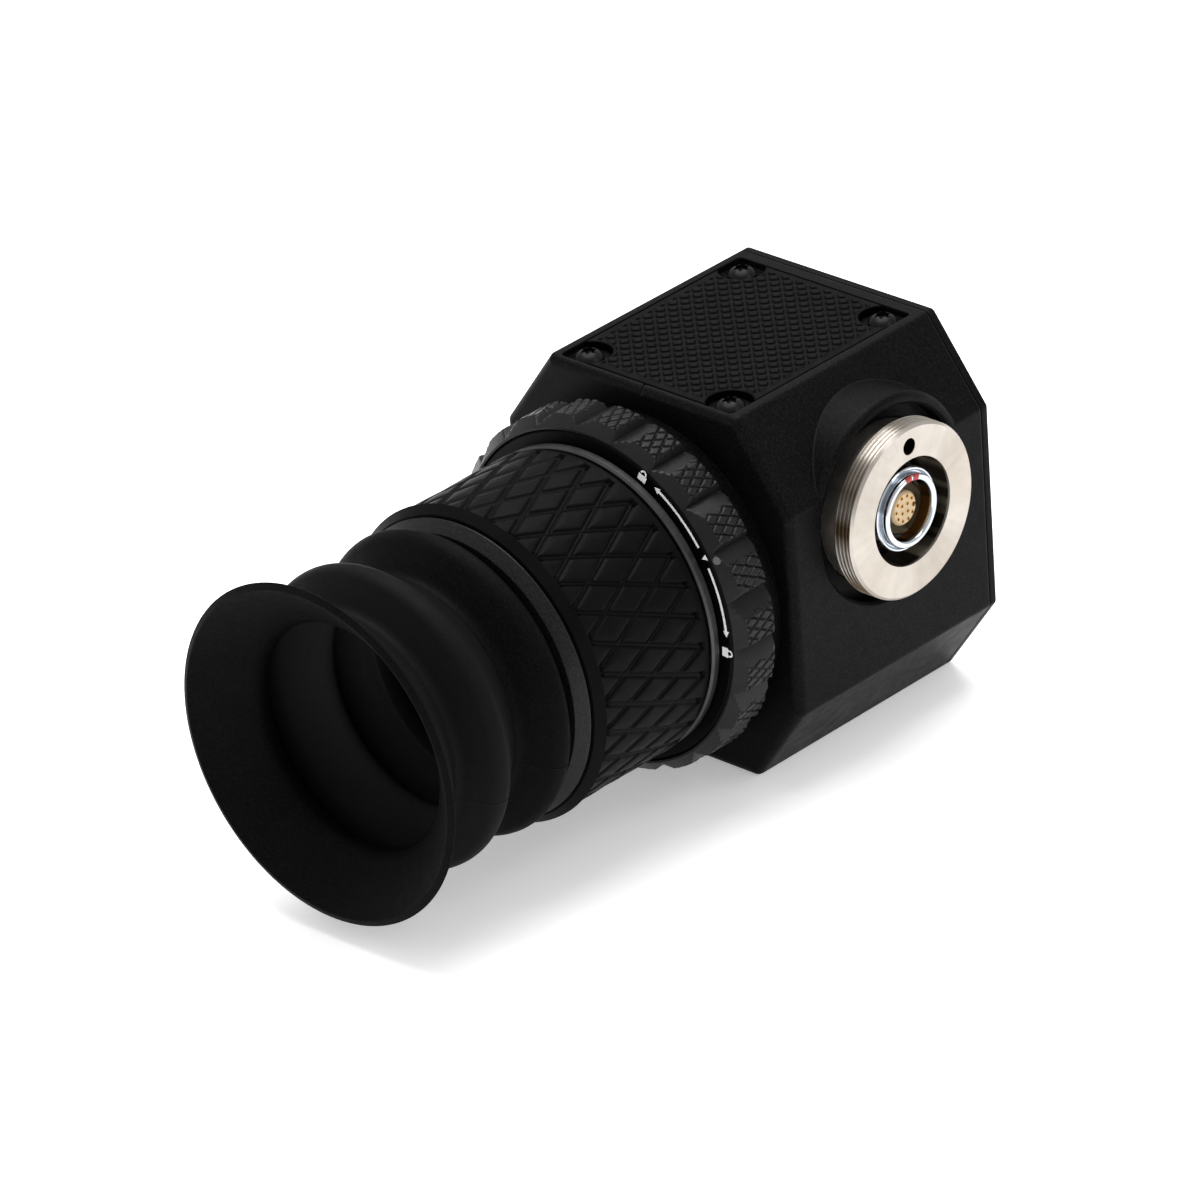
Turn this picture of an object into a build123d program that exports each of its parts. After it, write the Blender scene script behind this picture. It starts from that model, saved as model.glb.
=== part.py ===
from build123d import *
import os
from math import asin, atan, cos, degrees, pi, radians, sin, sqrt

# Electronic viewfinder: an eight-sided metal box with a display inside, an eyepiece tube on its front
# and a round connector collar on its side. Millimetres, Z up, the eye is towards -Y, the collar towards +X.
# The origin is the middle of the box's flat underside.

# Clearances and small shared sizes
running_fit = 0.05
seat_gap = 0.1
loose_gap = 0.25
overrun = 1.0
edge_break = 0.3

# Box
body_width = 53.2
body_height = 56.4
body_depth = 42.6
slope_across = 9.2
slope_down = 12.6
wall = 2.6
front_wall = 2.5
long_edge_round = 1.0
front_edge_round = 1.5
optical_rise = 0.2
window_opening_radius = 16.0
notch_width = 0.4
notch_depth = 0.3
notch_length = 3.4

# Rear cover
cover_thickness = 1.45
cover_edge_round = 0.5
gasket_thickness = 0.25
gasket_inset = 0.6
gasket_width = 1.5
cover_screw_from_side = 9.1
cover_screw_from_edge = 7.7
cover_post_radius = 3.2
cover_post_length = 3.6

# Screws
screw_radius = 1.0
screw_head_radius = 1.9
screw_head_height = 1.3
drive_radius = 0.75
drive_depth = 0.7
screw_point = 0.4

# Grip plate on top, with four round-headed screws in its cut corners
plate_from_slope = 1.55
plate_thickness = 1.2
plate_from_front = 1.35
plate_from_back = 3.65
plate_relief_radius = 3.4
pocket_corner_round = 0.8
top_screw_inset = 2.65
top_screw_radius = 1.25
top_head_radius = 2.15
top_head_height = 1.6
top_head_rim = 0.5
top_drive_radius = 0.85
top_drive_lobe_radius = 0.28
top_screw_length = 4.6
top_post_radius = 2.6
top_post_length = 3.4

# Connector collar and its boss
collar_forward = 0.2
collar_from_top = 19.15
boss_wall = 1.85
boss_round = 1.0
boss_depth = 8.0
moat_radius = 14.35
moat_depth = 2.8
moat_chamfer = 0.5
collar_radius = 13.0
collar_stand_out = 4.0
collar_band = 3.1
collar_chamfer = 0.4
collar_neck_step = 1.3
collar_stem_step = 1.3
collar_bore_radius = 8.05
collar_bore_depth = 7.0
collar_floor = 2.5
collar_thread_grooves = 4
collar_thread_depth = 0.35
index_hole_radius = 1.25
index_hole_from_edge = 2.9
index_hole_depth = 2.5
seal_thickness = 0.5
seal_width = 1.4
collar_nut_thickness = 2.7
collar_nut_width = 2.0
nut_slot_width = 2.4
nut_slot_depth = 0.9
nut_slots = 4

# Signal socket in the middle of the collar
socket_radius = 6.2
socket_wall = 1.4
socket_setback = 0.2
socket_foot_width = 1.2
socket_foot_thickness = 1.0
socket_stem_radius = 5.2
socket_stem_wall = 1.0
socket_stem_length = 6.5
socket_lip = 0.7
insert_radius = 2.55
insert_setback = 1.4
insert_step = 0.5
contact_radius = 0.22
contact_setback = 1.2
contact_ring_radius = 1.85
contact_ring_count = 10
contact_inner_radius = 0.8
contact_inner_count = 4
contact_tail = 2.0
socket_nut_flats = 13.4
socket_nut_thickness = 2.4
adapter_radius = 6.5
adapter_thickness = 0.8

# Flat ribbons between the boards, and the plugs that they end in
ribbon_thickness = 0.3
ribbon_width = 6.0
ribbon_bend = 2.0
header_height = 1.5
header_thickness = 3.0
header_spare = 1.0
socket_ribbon_run = 6.6
board_ribbon_from_edge = 4.0
display_ribbon_step = 5.0
display_ribbon_knee = 13.3

# Main board behind the display, held off the rear cover
standoff_length = 4.55
standoff_radius = 2.1
board_from_side = 11.2
board_from_top = 12.2
board_thickness = 1.6
board_screw_inset = 2.5
board_screw_length = 4.6
processor_size = 12.0
processor_thickness = 1.2
memory_width = 8.0
memory_height = 6.0
memory_thickness = 1.0
memory_from_edge = 5.5
memory_pitch = 6.5
coil_size = 4.0
coil_round = 0.8
coil_pitch = 5.0
coil_thickness = 2.0
coil_from_edge = 7.0
coil_drop = 4.5

# Display behind the front opening
frame_width = 26.0
frame_height = 28.0
frame_thickness = 4.5
frame_screw_inset = 2.75
frame_screw_grip = 1.5
picture_width = 17.5
picture_height = 13.0
display_width = 22.0
display_height = 17.0
display_thickness = 1.7
display_glass_thickness = 0.8
display_board_thickness = 1.0

# Mount for the eyepiece, ahead of the box
spigot_radius = 19.55
hub_wall = 2.0
flange_radius = 24.0
flange_thickness = 3.2
land_radius = 23.0
flange_screw_degrees = 38.0
flange_screw_depth = 2.6
window_thickness = 1.4
window_ring_width = 2.4
window_ring_thickness = 1.2

# Lock ring and the printed ring inside it
lock_gap = 0.7
lock_length = 7.3
lock_cone_length = 1.4
lock_radius = 26.9
lock_front_rim = 0.3
lock_back_chamfer = 0.5
index_ring_radius = 24.9
index_ring_thickness = 1.5
notch_count = 22
notch_wide_degrees = 8.0
notch_steep_degrees = 1.7
ring_notch_depth = 1.25
lock_turn_degrees = 24.0
index_angle_degrees = 28.5

# Lock pins, pressed in and let out by ramps inside the lock ring
pin_count = 3
pin_first_degrees = 90.0
pin_radius = 1.3
pin_travel = 0.5
pin_proud = 0.1
pin_from_ring_back = 2.5
ramp_clearance = 0.2
ramp_steps = 18

# Eyepiece tube and its trim ring
band_gap = 0.4
tube_radius = 20.6
tube_wall = 2.0
tube_floor = 2.0
spigot_bore_radius = 16.5
spigot_length = 8.6
trim_ring_radius = 23.2
trim_ring_thickness = 1.5
o_ring_inset = 3.1
o_ring_thickness = 1.2

# Focus barrel, which drives the lens cell by pins in screw-shaped grooves
barrel_gap = 0.3
barrel_length = 23.5
barrel_rim_length = 1.5
barrel_rim_step = 0.5
barrel_radius = 23.4
barrel_lip_length = 1.3
barrel_lip_rise = 0.4
barrel_lip_fall = 1.1
focus_turn_degrees = 60.0
focus_travel = 2.5
guide_pin_radius = 1.0
guide_pin_count = 3
guide_pin_first_degrees = 30.0
groove_depth = 1.25
groove_clearance = 0.12
groove_spare_degrees = 6.0

# Lens cell and its glass
cell_wall = 1.95
cell_shoulder = 1.2
cell_rim = 1.3
lens_rim_width = 1.2
field_lens_edge = 3.0
field_lens_back_bulge = 0.6
field_lens_front_bulge = 1.5
lens_spacer_length = 4.0
eye_lens_edge = 2.6
eye_lens_bulge = 1.8
cell_ring_thickness = 1.6

# Retainer ring and rubber eyecup
retainer_gap = 0.4
retainer_thickness = 1.6
retainer_lip = 0.7
retainer_radius = 22.4
retainer_rim = 0.2
retainer_fall = 1.5
cup_wall = 1.5
cup_spigot_length = 3.3
cup_neck_radius = 18.5
cup_step_length = 0.4
cup_step_radius = 19.9
first_crest_length = 2.7
first_crest_radius = 23.0
first_shoulder_length = 1.9
first_shoulder_radius = 22.25
first_valley_length = 3.5
first_valley_radius = 17.3
second_crest_length = 6.5
second_crest_radius = 22.75
second_shoulder_length = 2.1
second_shoulder_radius = 22.4
second_valley_length = 3.6
second_valley_radius = 17.6
throat_length = 2.1
throat_radius = 16.8
flare_length = 6.5
rim_radius = 25.4
rim_width = 1.1
cup_fold_round = 1.6
cup_skin_steps = 32

# Places along the optical axis, counted forwards from the box's front face
lock_back = flange_thickness + lock_gap
lock_front = lock_back + lock_length
pin_place = lock_back + pin_from_ring_back
tube_back = lock_front + band_gap
barrel_back = tube_back + trim_ring_thickness + barrel_gap
barrel_front = barrel_back + barrel_length
guide_place = (barrel_back + barrel_front) / 2
retainer_back = barrel_front + retainer_gap
retainer_front = retainer_back + retainer_thickness
tube_front = retainer_front - retainer_lip
lens_stack = field_lens_edge + lens_spacer_length + eye_lens_edge
cell_length = cell_shoulder + lens_stack + cell_ring_thickness + cell_rim
cell_back = guide_place - cell_length / 2
field_lens_place = cell_back + cell_shoulder
spacer_place = field_lens_place + field_lens_edge
eye_lens_place = spacer_place + lens_spacer_length
cell_ring_place = eye_lens_place + eye_lens_edge

# Radii about the optical axis
hub_bore_radius = spigot_radius + running_fit
hub_radius = hub_bore_radius + hub_wall
window_radius = hub_bore_radius - loose_gap
flange_screw_circle = (hub_bore_radius + flange_radius) / 2
pin_inner = spigot_radius - pin_travel
pin_outer = hub_radius + pin_travel + pin_proud
barrel_bore_radius = tube_radius + running_fit
groove_floor_radius = barrel_bore_radius + groove_depth
tube_bore_radius = tube_radius - tube_wall
cell_radius = tube_bore_radius - running_fit
cell_bore_radius = cell_radius - cell_wall
lens_radius = cell_bore_radius - seat_gap
lens_clear_radius = lens_radius - lens_rim_width

# Sizes that follow the box, and places across it counted from the optical axis
optical_height = body_height / 2 + optical_rise
plate_width = body_width - 2 * slope_across - 2 * plate_from_slope
plate_length = body_depth - plate_from_front - plate_from_back
board_width = body_width - 2 * board_from_side
board_height = body_height - 2 * board_from_top
memory_across = board_width / 2 - memory_from_edge
coil_across = board_width / 2 - coil_from_edge
board_ribbon_drop = board_height / 2 - board_ribbon_from_edge
display_ribbon_drop = board_ribbon_drop - display_ribbon_step

# Places inside the box, counted back from its front face
shell_back = body_depth - cover_thickness - gasket_thickness
cover_inside = body_depth - cover_thickness
board_back = cover_inside - standoff_length
board_front = board_back - board_thickness
frame_back = front_wall + frame_thickness
display_back = frame_back + display_board_thickness

# Places and radii in the collar, counted outwards from the box's side wall
boss_radius = moat_radius + boss_wall
collar_neck_radius = collar_radius - collar_neck_step
collar_stem_radius = collar_neck_radius - collar_stem_step
collar_floor_place = collar_stand_out - collar_bore_depth
socket_back = collar_floor_place - socket_stem_length
contact_back = socket_back - contact_tail
nut_radius = collar_stem_radius + collar_nut_width
socket_ribbon_across = body_width / 2 + contact_back - socket_ribbon_run

# The optical axis from the box's front face towards the eye, and the collar's axis out of the side wall
front_y = -body_depth / 2
collar_height = body_height - collar_from_top
collar_y = -collar_forward
collar_above_axis = collar_height - optical_height
eye_frame = Plane(origin=(0, front_y, optical_height), x_dir=(1, 0, 0), z_dir=(0, -1, 0))
side_frame = Plane(origin=(body_width / 2, collar_y, collar_height), x_dir=(0, 1, 0), z_dir=(1, 0, 0))


# Solid of revolution about local Z from (height, radius) points
def turned(*outline):
    points = [(radius, 0, height) for height, radius in outline]
    return revolve(make_face(Polyline(*points, close=True)), Axis.Z)


# Plain ring or disc between two heights
def sleeve(low, high, outer, inner=0):
    return turned((low, inner), (low, outer), (high, outer), (high, inner))


def rod(radius, length):
    return Cylinder(radius, length, align=(Align.CENTER, Align.CENTER, Align.MIN))


# Block between two places along the box, with its middle at x and up from the optical axis
def inner_block(width, height, front, back, x=0, up=0):
    centre = (x, front_y + (front + back) / 2, optical_height + up)
    return Pos(*centre) * Box(width, back - front, height)


# Local Z points back along the box, with the origin at x and up from the optical axis
def looking_back(x, up, place):
    return Plane(origin=(x, front_y + place, optical_height + up), x_dir=(1, 0, 0), z_dir=(0, 1, 0))


# Local Z points outwards from the optical axis at an angle
def outwards(angle, place):
    return Pos(0, 0, place) * Rot(0, 0, angle) * Rot(0, 90, 0)


def four_corners(across, up):
    return [(side * across, end * up) for side in (-1, 1) for end in (-1, 1)]


def evenly_spaced(count, first=0):
    return [first + index * 360 / count for index in range(count)]


def on_circle(radius, angle):
    return radius * cos(radians(angle)), radius * sin(radians(angle))


def cover_screw_places():
    return four_corners(body_width / 2 - cover_screw_from_side, body_height / 2 - cover_screw_from_edge)


def board_screw_places():
    return four_corners(board_width / 2 - board_screw_inset, board_height / 2 - board_screw_inset)


def frame_screw_places():
    return four_corners(frame_width / 2 - frame_screw_inset, frame_height / 2 - frame_screw_inset)


def flange_screw_places():
    return four_corners(*on_circle(flange_screw_circle, flange_screw_degrees))


def plate_middle():
    return Pos(0, front_y + plate_from_front + plate_length / 2, body_height - plate_thickness)


def top_screw_places():
    corners = four_corners(plate_width / 2 - top_screw_inset, plate_length / 2 - top_screw_inset)
    return [plate_middle() * Pos(x, y, 0) for x, y in corners]


def lock_pin_angles():
    return evenly_spaced(pin_count, pin_first_degrees)


def guide_pin_angles():
    return evenly_spaced(guide_pin_count, guide_pin_first_degrees)


# Eight-sided outline of the box, moved in from its outer faces by inset
def eight_sides(inset):
    half_width = body_width / 2 - inset
    half_height = body_height / 2 - inset
    slope_length = sqrt(slope_across**2 + slope_down**2)
    shift = inset * (slope_across + slope_down - slope_length)
    across = slope_across - shift / slope_down
    down = slope_down - shift / slope_across
    quarter = [(half_width - across, half_height), (half_width, half_height - down)]
    right_side = quarter + [(x, -up) for x, up in reversed(quarter)]
    left_side = [(-x, up) for x, up in reversed(right_side)]
    outline = make_face(Polyline(*right_side, *left_side, close=True))
    return fillet(outline.vertices(), long_edge_round)


# Length of the box from start to stop behind its front face
def box_slice(inset, start, stop):
    middle = Plane(origin=(0, front_y + start, body_height / 2), x_dir=(1, 0, 0), z_dir=(0, 1, 0))
    return extrude(middle * eight_sides(inset), stop - start)


# Hexagon cutter that reaches down from local zero
def screw_drive():
    return Pos(0, 0, -drive_depth) * extrude(RegularPolygon(drive_radius, 6), drive_depth + overrun)


# Screw with its head's underside at local zero and its shank going down local Z
def screw(length):
    head_edge = screw_head_radius - edge_break
    body = turned(
        (-length, 0), (-length, screw_radius - screw_point), (screw_point - length, screw_radius),
        (0, screw_radius), (0, screw_head_radius), (screw_head_height - edge_break, screw_head_radius),
        (screw_head_height, head_edge), (screw_head_height, 0),
    )
    return body - Pos(0, 0, screw_head_height) * screw_drive()


# Flush screw with a cone head, its top at local zero
def countersunk_screw(length):
    sink = screw_head_radius - screw_radius
    body = turned(
        (-length, 0), (-length, screw_radius - screw_point), (screw_point - length, screw_radius),
        (-sink, screw_radius), (0, screw_head_radius), (0, 0),
    )
    return body - screw_drive()


# Outside of the box, with the connector's boss standing up to the side wall's plane
def shell_outside():
    shell = box_slice(0, 0, shell_back)
    shell = fillet(shell.faces().sort_by(Axis.Y)[0].edges(), front_edge_round)
    boss = sleeve(-boss_depth, 0, boss_radius)
    return shell + side_frame * fillet(boss.faces().sort_by(Axis.Z)[-1].edges(), boss_round)


# Block behind the boss, and posts for the screws of the cover and the grip plate
def shell_posts():
    posts = [side_frame * sleeve(-boss_depth, -moat_depth, boss_radius)]
    for x, up in cover_screw_places():
        foot = looking_back(x, up, shell_back - cover_post_length)
        posts.append(foot * rod(cover_post_radius, cover_post_length))
    top_length = top_post_length + wall
    for place in top_screw_places():
        posts.append(place * Pos(0, 0, -top_length) * rod(top_post_radius, top_length))
    inside = box_slice(wall / 2, front_wall / 2, shell_back)
    return [post & inside for post in posts]


def shell_screw_holes():
    holes = []
    for x, up in cover_screw_places():
        foot = looking_back(x, up, shell_back - cover_post_length - overrun)
        holes.append(foot * rod(screw_radius, cover_post_length + 2 * overrun))
    for x, up in frame_screw_places():
        hole = rod(screw_radius, frame_screw_grip + overrun)
        holes.append(looking_back(x, up, front_wall - frame_screw_grip) * hole)
    for x, up in flange_screw_places():
        holes.append(looking_back(x, up, -overrun) * rod(screw_radius + seat_gap, front_wall + 2 * overrun))
    for place in top_screw_places():
        holes.append(place * Pos(0, 0, -top_screw_length) * rod(top_screw_radius, top_screw_length + overrun))
    return holes


# Ring-shaped recess round the collar, the seal's seat and the hole for the collar's stem
def collar_seat():
    mouth = moat_radius + moat_chamfer
    seal_floor = -moat_depth - seal_thickness
    seal_edge = collar_stem_radius + seal_width
    hole = collar_stem_radius + seat_gap
    return side_frame * turned(
        (overrun, 0), (overrun, mouth), (0, mouth), (-moat_chamfer, moat_radius), (-moat_depth, moat_radius),
        (-moat_depth, seal_edge), (seal_floor, seal_edge), (seal_floor, hole),
        (-boss_depth - overrun, hole), (-boss_depth - overrun, 0),
    )


# Shallow pocket in the top that the grip plate lies in
def plate_pocket():
    outline = RectangleRounded(plate_width + 2 * loose_gap, plate_length + 2 * loose_gap, pocket_corner_round)
    return plate_middle() * extrude(outline, plate_thickness + overrun)


# Thin mark across the middle of the top front edge
def edge_notch():
    sink = front_edge_round * (sqrt(2) - 1)
    cutter = Pos(0, 0, -sink) * Box(notch_width, notch_length, 2 * notch_depth)
    return Pos(0, front_y, body_height) * Rot(45, 0, 0) * cutter


def housing_shell():
    shell = shell_outside() - box_slice(wall, front_wall, body_depth)
    for post in shell_posts():
        shell += post
    for hole in shell_screw_holes():
        shell -= hole
    shell -= eye_frame * sleeve(-front_wall - overrun, overrun, window_opening_radius)
    return shell - collar_seat() - plate_pocket() - edge_notch()


# Plate whose corners are scooped out round the screws
def top_grip_plate():
    outline = Rectangle(plate_width, plate_length)
    for x, y in four_corners(plate_width / 2, plate_length / 2):
        outline -= Pos(x, y) * Rectangle(2 * top_screw_inset, 2 * top_screw_inset)
    for x, y in four_corners(plate_width / 2 - top_screw_inset, plate_length / 2 - top_screw_inset):
        outline -= Pos(x, y) * Circle(plate_relief_radius)
    return plate_middle() * extrude(outline, plate_thickness)


# Part of a sphere's outline, from its rim to the axis of turning
def dome(rim_radius, rim_height, rise):
    sphere_radius = (rim_radius**2 + rise**2) / (2 * abs(rise))
    half_angle = asin(rim_radius / sphere_radius) / 2
    drop = rise / abs(rise) * sphere_radius * (1 - cos(half_angle))
    top = (0, 0, rim_height + rise)
    middle = (sphere_radius * sin(half_angle), 0, top[2] - drop)
    return ThreePointArc((rim_radius, 0, rim_height), middle, top)


# Round-headed screw with a six-lobed drive, its head's underside at local zero
def round_head_screw():
    outline = Polyline(
        (0, 0, top_head_height), (0, 0, -top_screw_length),
        (top_screw_radius - screw_point, 0, -top_screw_length),
        (top_screw_radius, 0, screw_point - top_screw_length), (top_screw_radius, 0, 0),
        (top_head_radius, 0, 0), (top_head_radius, 0, top_head_rim),
    )
    crown = dome(top_head_radius, top_head_rim, top_head_height - top_head_rim)
    head = revolve(make_face(outline + crown), Axis.Z)
    drive = Circle(top_drive_radius)
    for angle in evenly_spaced(6):
        drive += Pos(*on_circle(top_drive_radius, angle)) * Circle(top_drive_lobe_radius)
    return head - Pos(0, 0, top_head_height - drive_depth) * extrude(drive, drive_depth + overrun)


def top_plate_screws():
    return [place * round_head_screw() for place in top_screw_places()]


def rear_gasket():
    outer = box_slice(gasket_inset, shell_back, cover_inside)
    return outer - box_slice(gasket_inset + gasket_width, shell_back - overrun, cover_inside + overrun)


def rear_cover():
    cover = box_slice(0, cover_inside, body_depth)
    cover = fillet(cover.faces().sort_by(Axis.Y)[-1].edges(), cover_edge_round)
    hole_radius = screw_radius + seat_gap
    mouth = screw_head_radius + seat_gap
    hole = turned(
        (-cover_thickness - overrun, 0), (-cover_thickness - overrun, hole_radius),
        (hole_radius - mouth, hole_radius), (0, mouth), (overrun, mouth), (overrun, 0),
    )
    for x, up in cover_screw_places():
        cover -= looking_back(x, up, body_depth) * hole
    return cover


def rear_cover_screws():
    length = body_depth - shell_back + cover_post_length - screw_point
    return [looking_back(x, up, body_depth) * countersunk_screw(length) for x, up in cover_screw_places()]


# Outline of the collar's rim from its front face back over the thread's grooves
def collar_thread():
    pitch = (collar_band - collar_chamfer) / collar_thread_grooves
    root = collar_radius - collar_thread_depth
    start = collar_stand_out - collar_chamfer
    outline = [(collar_stand_out, collar_radius - collar_chamfer), (start, collar_radius)]
    for groove in range(collar_thread_grooves):
        edge = start - pitch * groove
        outline += [(edge - pitch / 4, collar_radius), (edge - pitch / 2, root)]
        outline.append((edge - 3 * pitch / 4, collar_radius))
    return outline


def connector_collar():
    band_back = collar_stand_out - collar_band
    stem_end = -boss_depth - collar_nut_thickness
    floor_back = collar_floor_place - collar_floor
    hole_radius = socket_stem_radius + seat_gap
    collar = turned(
        (collar_stand_out, collar_bore_radius), *collar_thread(), (band_back, collar_radius),
        (band_back, collar_neck_radius), (-moat_depth, collar_neck_radius), (-moat_depth, collar_stem_radius),
        (stem_end, collar_stem_radius), (stem_end, collar_bore_radius), (floor_back, collar_bore_radius),
        (floor_back, hole_radius), (collar_floor_place, hole_radius),
        (collar_floor_place, collar_bore_radius),
    )
    hole_up = collar_radius - index_hole_from_edge
    hole_foot = collar_stand_out - index_hole_depth
    collar -= Pos(0, hole_up, hole_foot) * rod(index_hole_radius, index_hole_depth + overrun)
    return side_frame * collar


def collar_seal():
    outer = collar_stem_radius + seal_width - seat_gap
    return side_frame * sleeve(-moat_depth - seal_thickness, -moat_depth, outer, collar_stem_radius)


def collar_nut():
    nut = sleeve(-boss_depth - collar_nut_thickness, -boss_depth, nut_radius, collar_stem_radius)
    slot = Pos(nut_radius, 0, -boss_depth) * Box(2 * nut_slot_depth, nut_slot_width, 3 * collar_nut_thickness)
    for angle in evenly_spaced(nut_slots):
        nut -= Rot(0, 0, angle) * slot
    return side_frame * nut


def socket_shell():
    front = collar_stand_out - socket_setback
    foot_top = collar_floor_place + socket_foot_thickness
    foot_edge = socket_radius + socket_foot_width
    bore = socket_radius - socket_wall
    stem_bore = socket_stem_radius - socket_stem_wall
    return side_frame * turned(
        (front, bore + socket_lip), (front, socket_radius - edge_break), (front - edge_break, socket_radius),
        (foot_top, socket_radius), (foot_top, foot_edge), (collar_floor_place, foot_edge),
        (collar_floor_place, socket_stem_radius), (socket_back, socket_stem_radius), (socket_back, stem_bore),
        (collar_floor_place, stem_bore), (collar_floor_place, bore), (front - socket_lip, bore),
    )


# Places of the contacts across the insert
def contact_places():
    outer = [on_circle(contact_ring_radius, angle) for angle in evenly_spaced(contact_ring_count)]
    inner = [on_circle(contact_inner_radius, angle) for angle in evenly_spaced(contact_inner_count, 45)]
    return outer + inner


def socket_insert():
    face = collar_stand_out - insert_setback
    step = collar_floor_place - insert_step
    stem_bore = socket_stem_radius - socket_stem_wall
    insert = turned(
        (face, 0), (face, insert_radius - edge_break), (face - edge_break, insert_radius),
        (step, insert_radius), (step, stem_bore), (socket_back, stem_bore), (socket_back, 0),
    )
    for x, y in contact_places():
        insert -= Pos(x, y, socket_back - overrun) * rod(contact_radius, face - socket_back + 2 * overrun)
    return side_frame * insert


def socket_contacts():
    length = collar_stand_out - insert_setback - contact_setback - contact_back
    return [side_frame * Pos(x, y, contact_back) * rod(contact_radius, length) for x, y in contact_places()]


def socket_nut():
    hexagon = RegularPolygon(socket_nut_flats / 2, 6, major_radius=False) - Circle(socket_stem_radius)
    back = collar_floor_place - collar_floor - socket_nut_thickness
    return side_frame * Pos(0, 0, back) * extrude(hexagon, socket_nut_thickness)


# Small round board that the contact tails are soldered through
def socket_adapter():
    disc = sleeve(contact_back, contact_back + adapter_thickness, adapter_radius)
    for x, y in contact_places():
        disc -= Pos(x, y, contact_back - overrun) * rod(contact_radius, adapter_thickness + 2 * overrun)
    return side_frame * disc


# Flat ribbon along a bent path that starts square to the given frame
def ribbon(points, start_frame):
    path = FilletPolyline(*points, radius=ribbon_bend)
    return sweep(start_frame * Rectangle(ribbon_thickness, ribbon_width), path)


def socket_ribbon():
    start = (body_width / 2 + contact_back, collar_y, collar_height)
    corner = (socket_ribbon_across, collar_y, collar_height)
    end = (socket_ribbon_across, front_y + board_front - header_height, collar_height)
    return ribbon([start, corner, end], Plane(origin=start, x_dir=(0, 1, 0), z_dir=(-1, 0, 0)))


def display_ribbon():
    start_y = front_y + display_back + header_height
    knee_y = start_y + display_ribbon_knee
    high = optical_height - display_ribbon_drop
    low = optical_height - board_ribbon_drop
    start = (0, start_y, high)
    points = [start, (0, knee_y, high), (0, knee_y, low), (0, front_y + board_front - header_height, low)]
    return ribbon(points, Plane(origin=start, x_dir=(0, 0, 1), z_dir=(0, 1, 0)))


def ribbon_headers():
    length = ribbon_width + 2 * header_spare
    on_board = board_front - header_height
    behind_display = display_back + header_height
    return [
        inner_block(header_thickness, length, on_board, board_front, socket_ribbon_across, collar_above_axis),
        inner_block(length, header_thickness, on_board, board_front, up=-board_ribbon_drop),
        inner_block(length, header_thickness, display_back, behind_display, up=-display_ribbon_drop),
    ]


# Board with a clearance hole for each of its screws
def drilled_board(width, height, front, back, screw_places):
    board = inner_block(width, height, front, back)
    for x, up in screw_places:
        hole = rod(screw_radius + seat_gap, back - front + 2 * overrun)
        board -= looking_back(x, up, front - overrun) * hole
    return board


def driver_board():
    return drilled_board(board_width, board_height, board_front, board_back, board_screw_places())


def board_standoffs():
    post = extrude(RegularPolygon(standoff_radius, 6, major_radius=False), standoff_length)
    grip = board_screw_length - board_thickness
    post -= Pos(0, 0, -overrun) * rod(screw_radius, grip + overrun)
    return [looking_back(x, up, board_back) * post for x, up in board_screw_places()]


def board_screws():
    turned_round = Rot(180, 0, 0) * screw(board_screw_length)
    return [looking_back(x, up, board_front) * turned_round for x, up in board_screw_places()]


def processor():
    return inner_block(processor_size, processor_size, board_back, board_back + processor_thickness)


# Soft pad that carries the chip's heat to the rear cover
def heat_pad():
    return inner_block(processor_size, processor_size, board_back + processor_thickness, cover_inside)


def board_chips():
    memory_front = board_front - memory_thickness
    coil_front = board_front - coil_thickness
    chips = []
    for side in (-1, 1):
        up = side * memory_pitch / 2
        chips.append(inner_block(memory_width, memory_height, memory_front, board_front, -memory_across, up))
        up = side * coil_pitch / 2 - coil_drop
        coil = inner_block(coil_size, coil_size, coil_front, board_front, coil_across, up)
        chips.append(fillet(coil.edges().filter_by(Axis.Y), coil_round))
    return chips


def display_frame():
    frame = drilled_board(frame_width, frame_height, front_wall, frame_back, frame_screw_places())
    frame -= inner_block(picture_width, picture_height, front_wall - overrun, frame_back + overrun)
    pocket = frame_back - display_thickness - display_glass_thickness
    gap = 2 * seat_gap
    return frame - inner_block(display_width + gap, display_height + gap, pocket, frame_back + overrun)


def display_glass():
    back = frame_back - display_thickness
    return inner_block(display_width, display_height, back - display_glass_thickness, back)


def microdisplay():
    return inner_block(display_width, display_height, frame_back - display_thickness, frame_back)


def display_board():
    return drilled_board(frame_width, frame_height, frame_back, display_back, frame_screw_places())


def frame_screws():
    length = display_back - front_wall + frame_screw_grip
    return [looking_back(x, up, display_back) * screw(length) for x, up in frame_screw_places()]


def front_window():
    edge = window_radius - edge_break
    return eye_frame * turned(
        (0, 0), (0, window_radius), (window_thickness - edge_break, window_radius), (window_thickness, edge),
        (window_thickness, 0),
    )


def window_ring():
    front = window_thickness + window_ring_thickness
    return eye_frame * sleeve(window_thickness, front, hub_bore_radius, hub_bore_radius - window_ring_width)


def mount_flange():
    edge = flange_radius - edge_break
    land = lock_back - seat_gap
    flange = turned(
        (0, hub_bore_radius), (0, flange_radius), (flange_thickness - edge_break, flange_radius),
        (flange_thickness, edge), (flange_thickness, land_radius), (land, land_radius), (land, hub_radius),
        (tube_back, hub_radius), (tube_back, hub_bore_radius),
    )
    for angle in lock_pin_angles():
        flange -= outwards(angle, pin_place) * rod(pin_radius + running_fit, hub_radius + overrun)
    for x, up in flange_screw_places():
        flange -= Pos(x, up, -overrun) * rod(screw_radius, flange_screw_depth + overrun)
    return eye_frame * flange


def flange_screws():
    length = front_wall + flange_screw_depth
    return [looking_back(x, up, front_wall) * screw(length) for x, up in flange_screw_places()]


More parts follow.
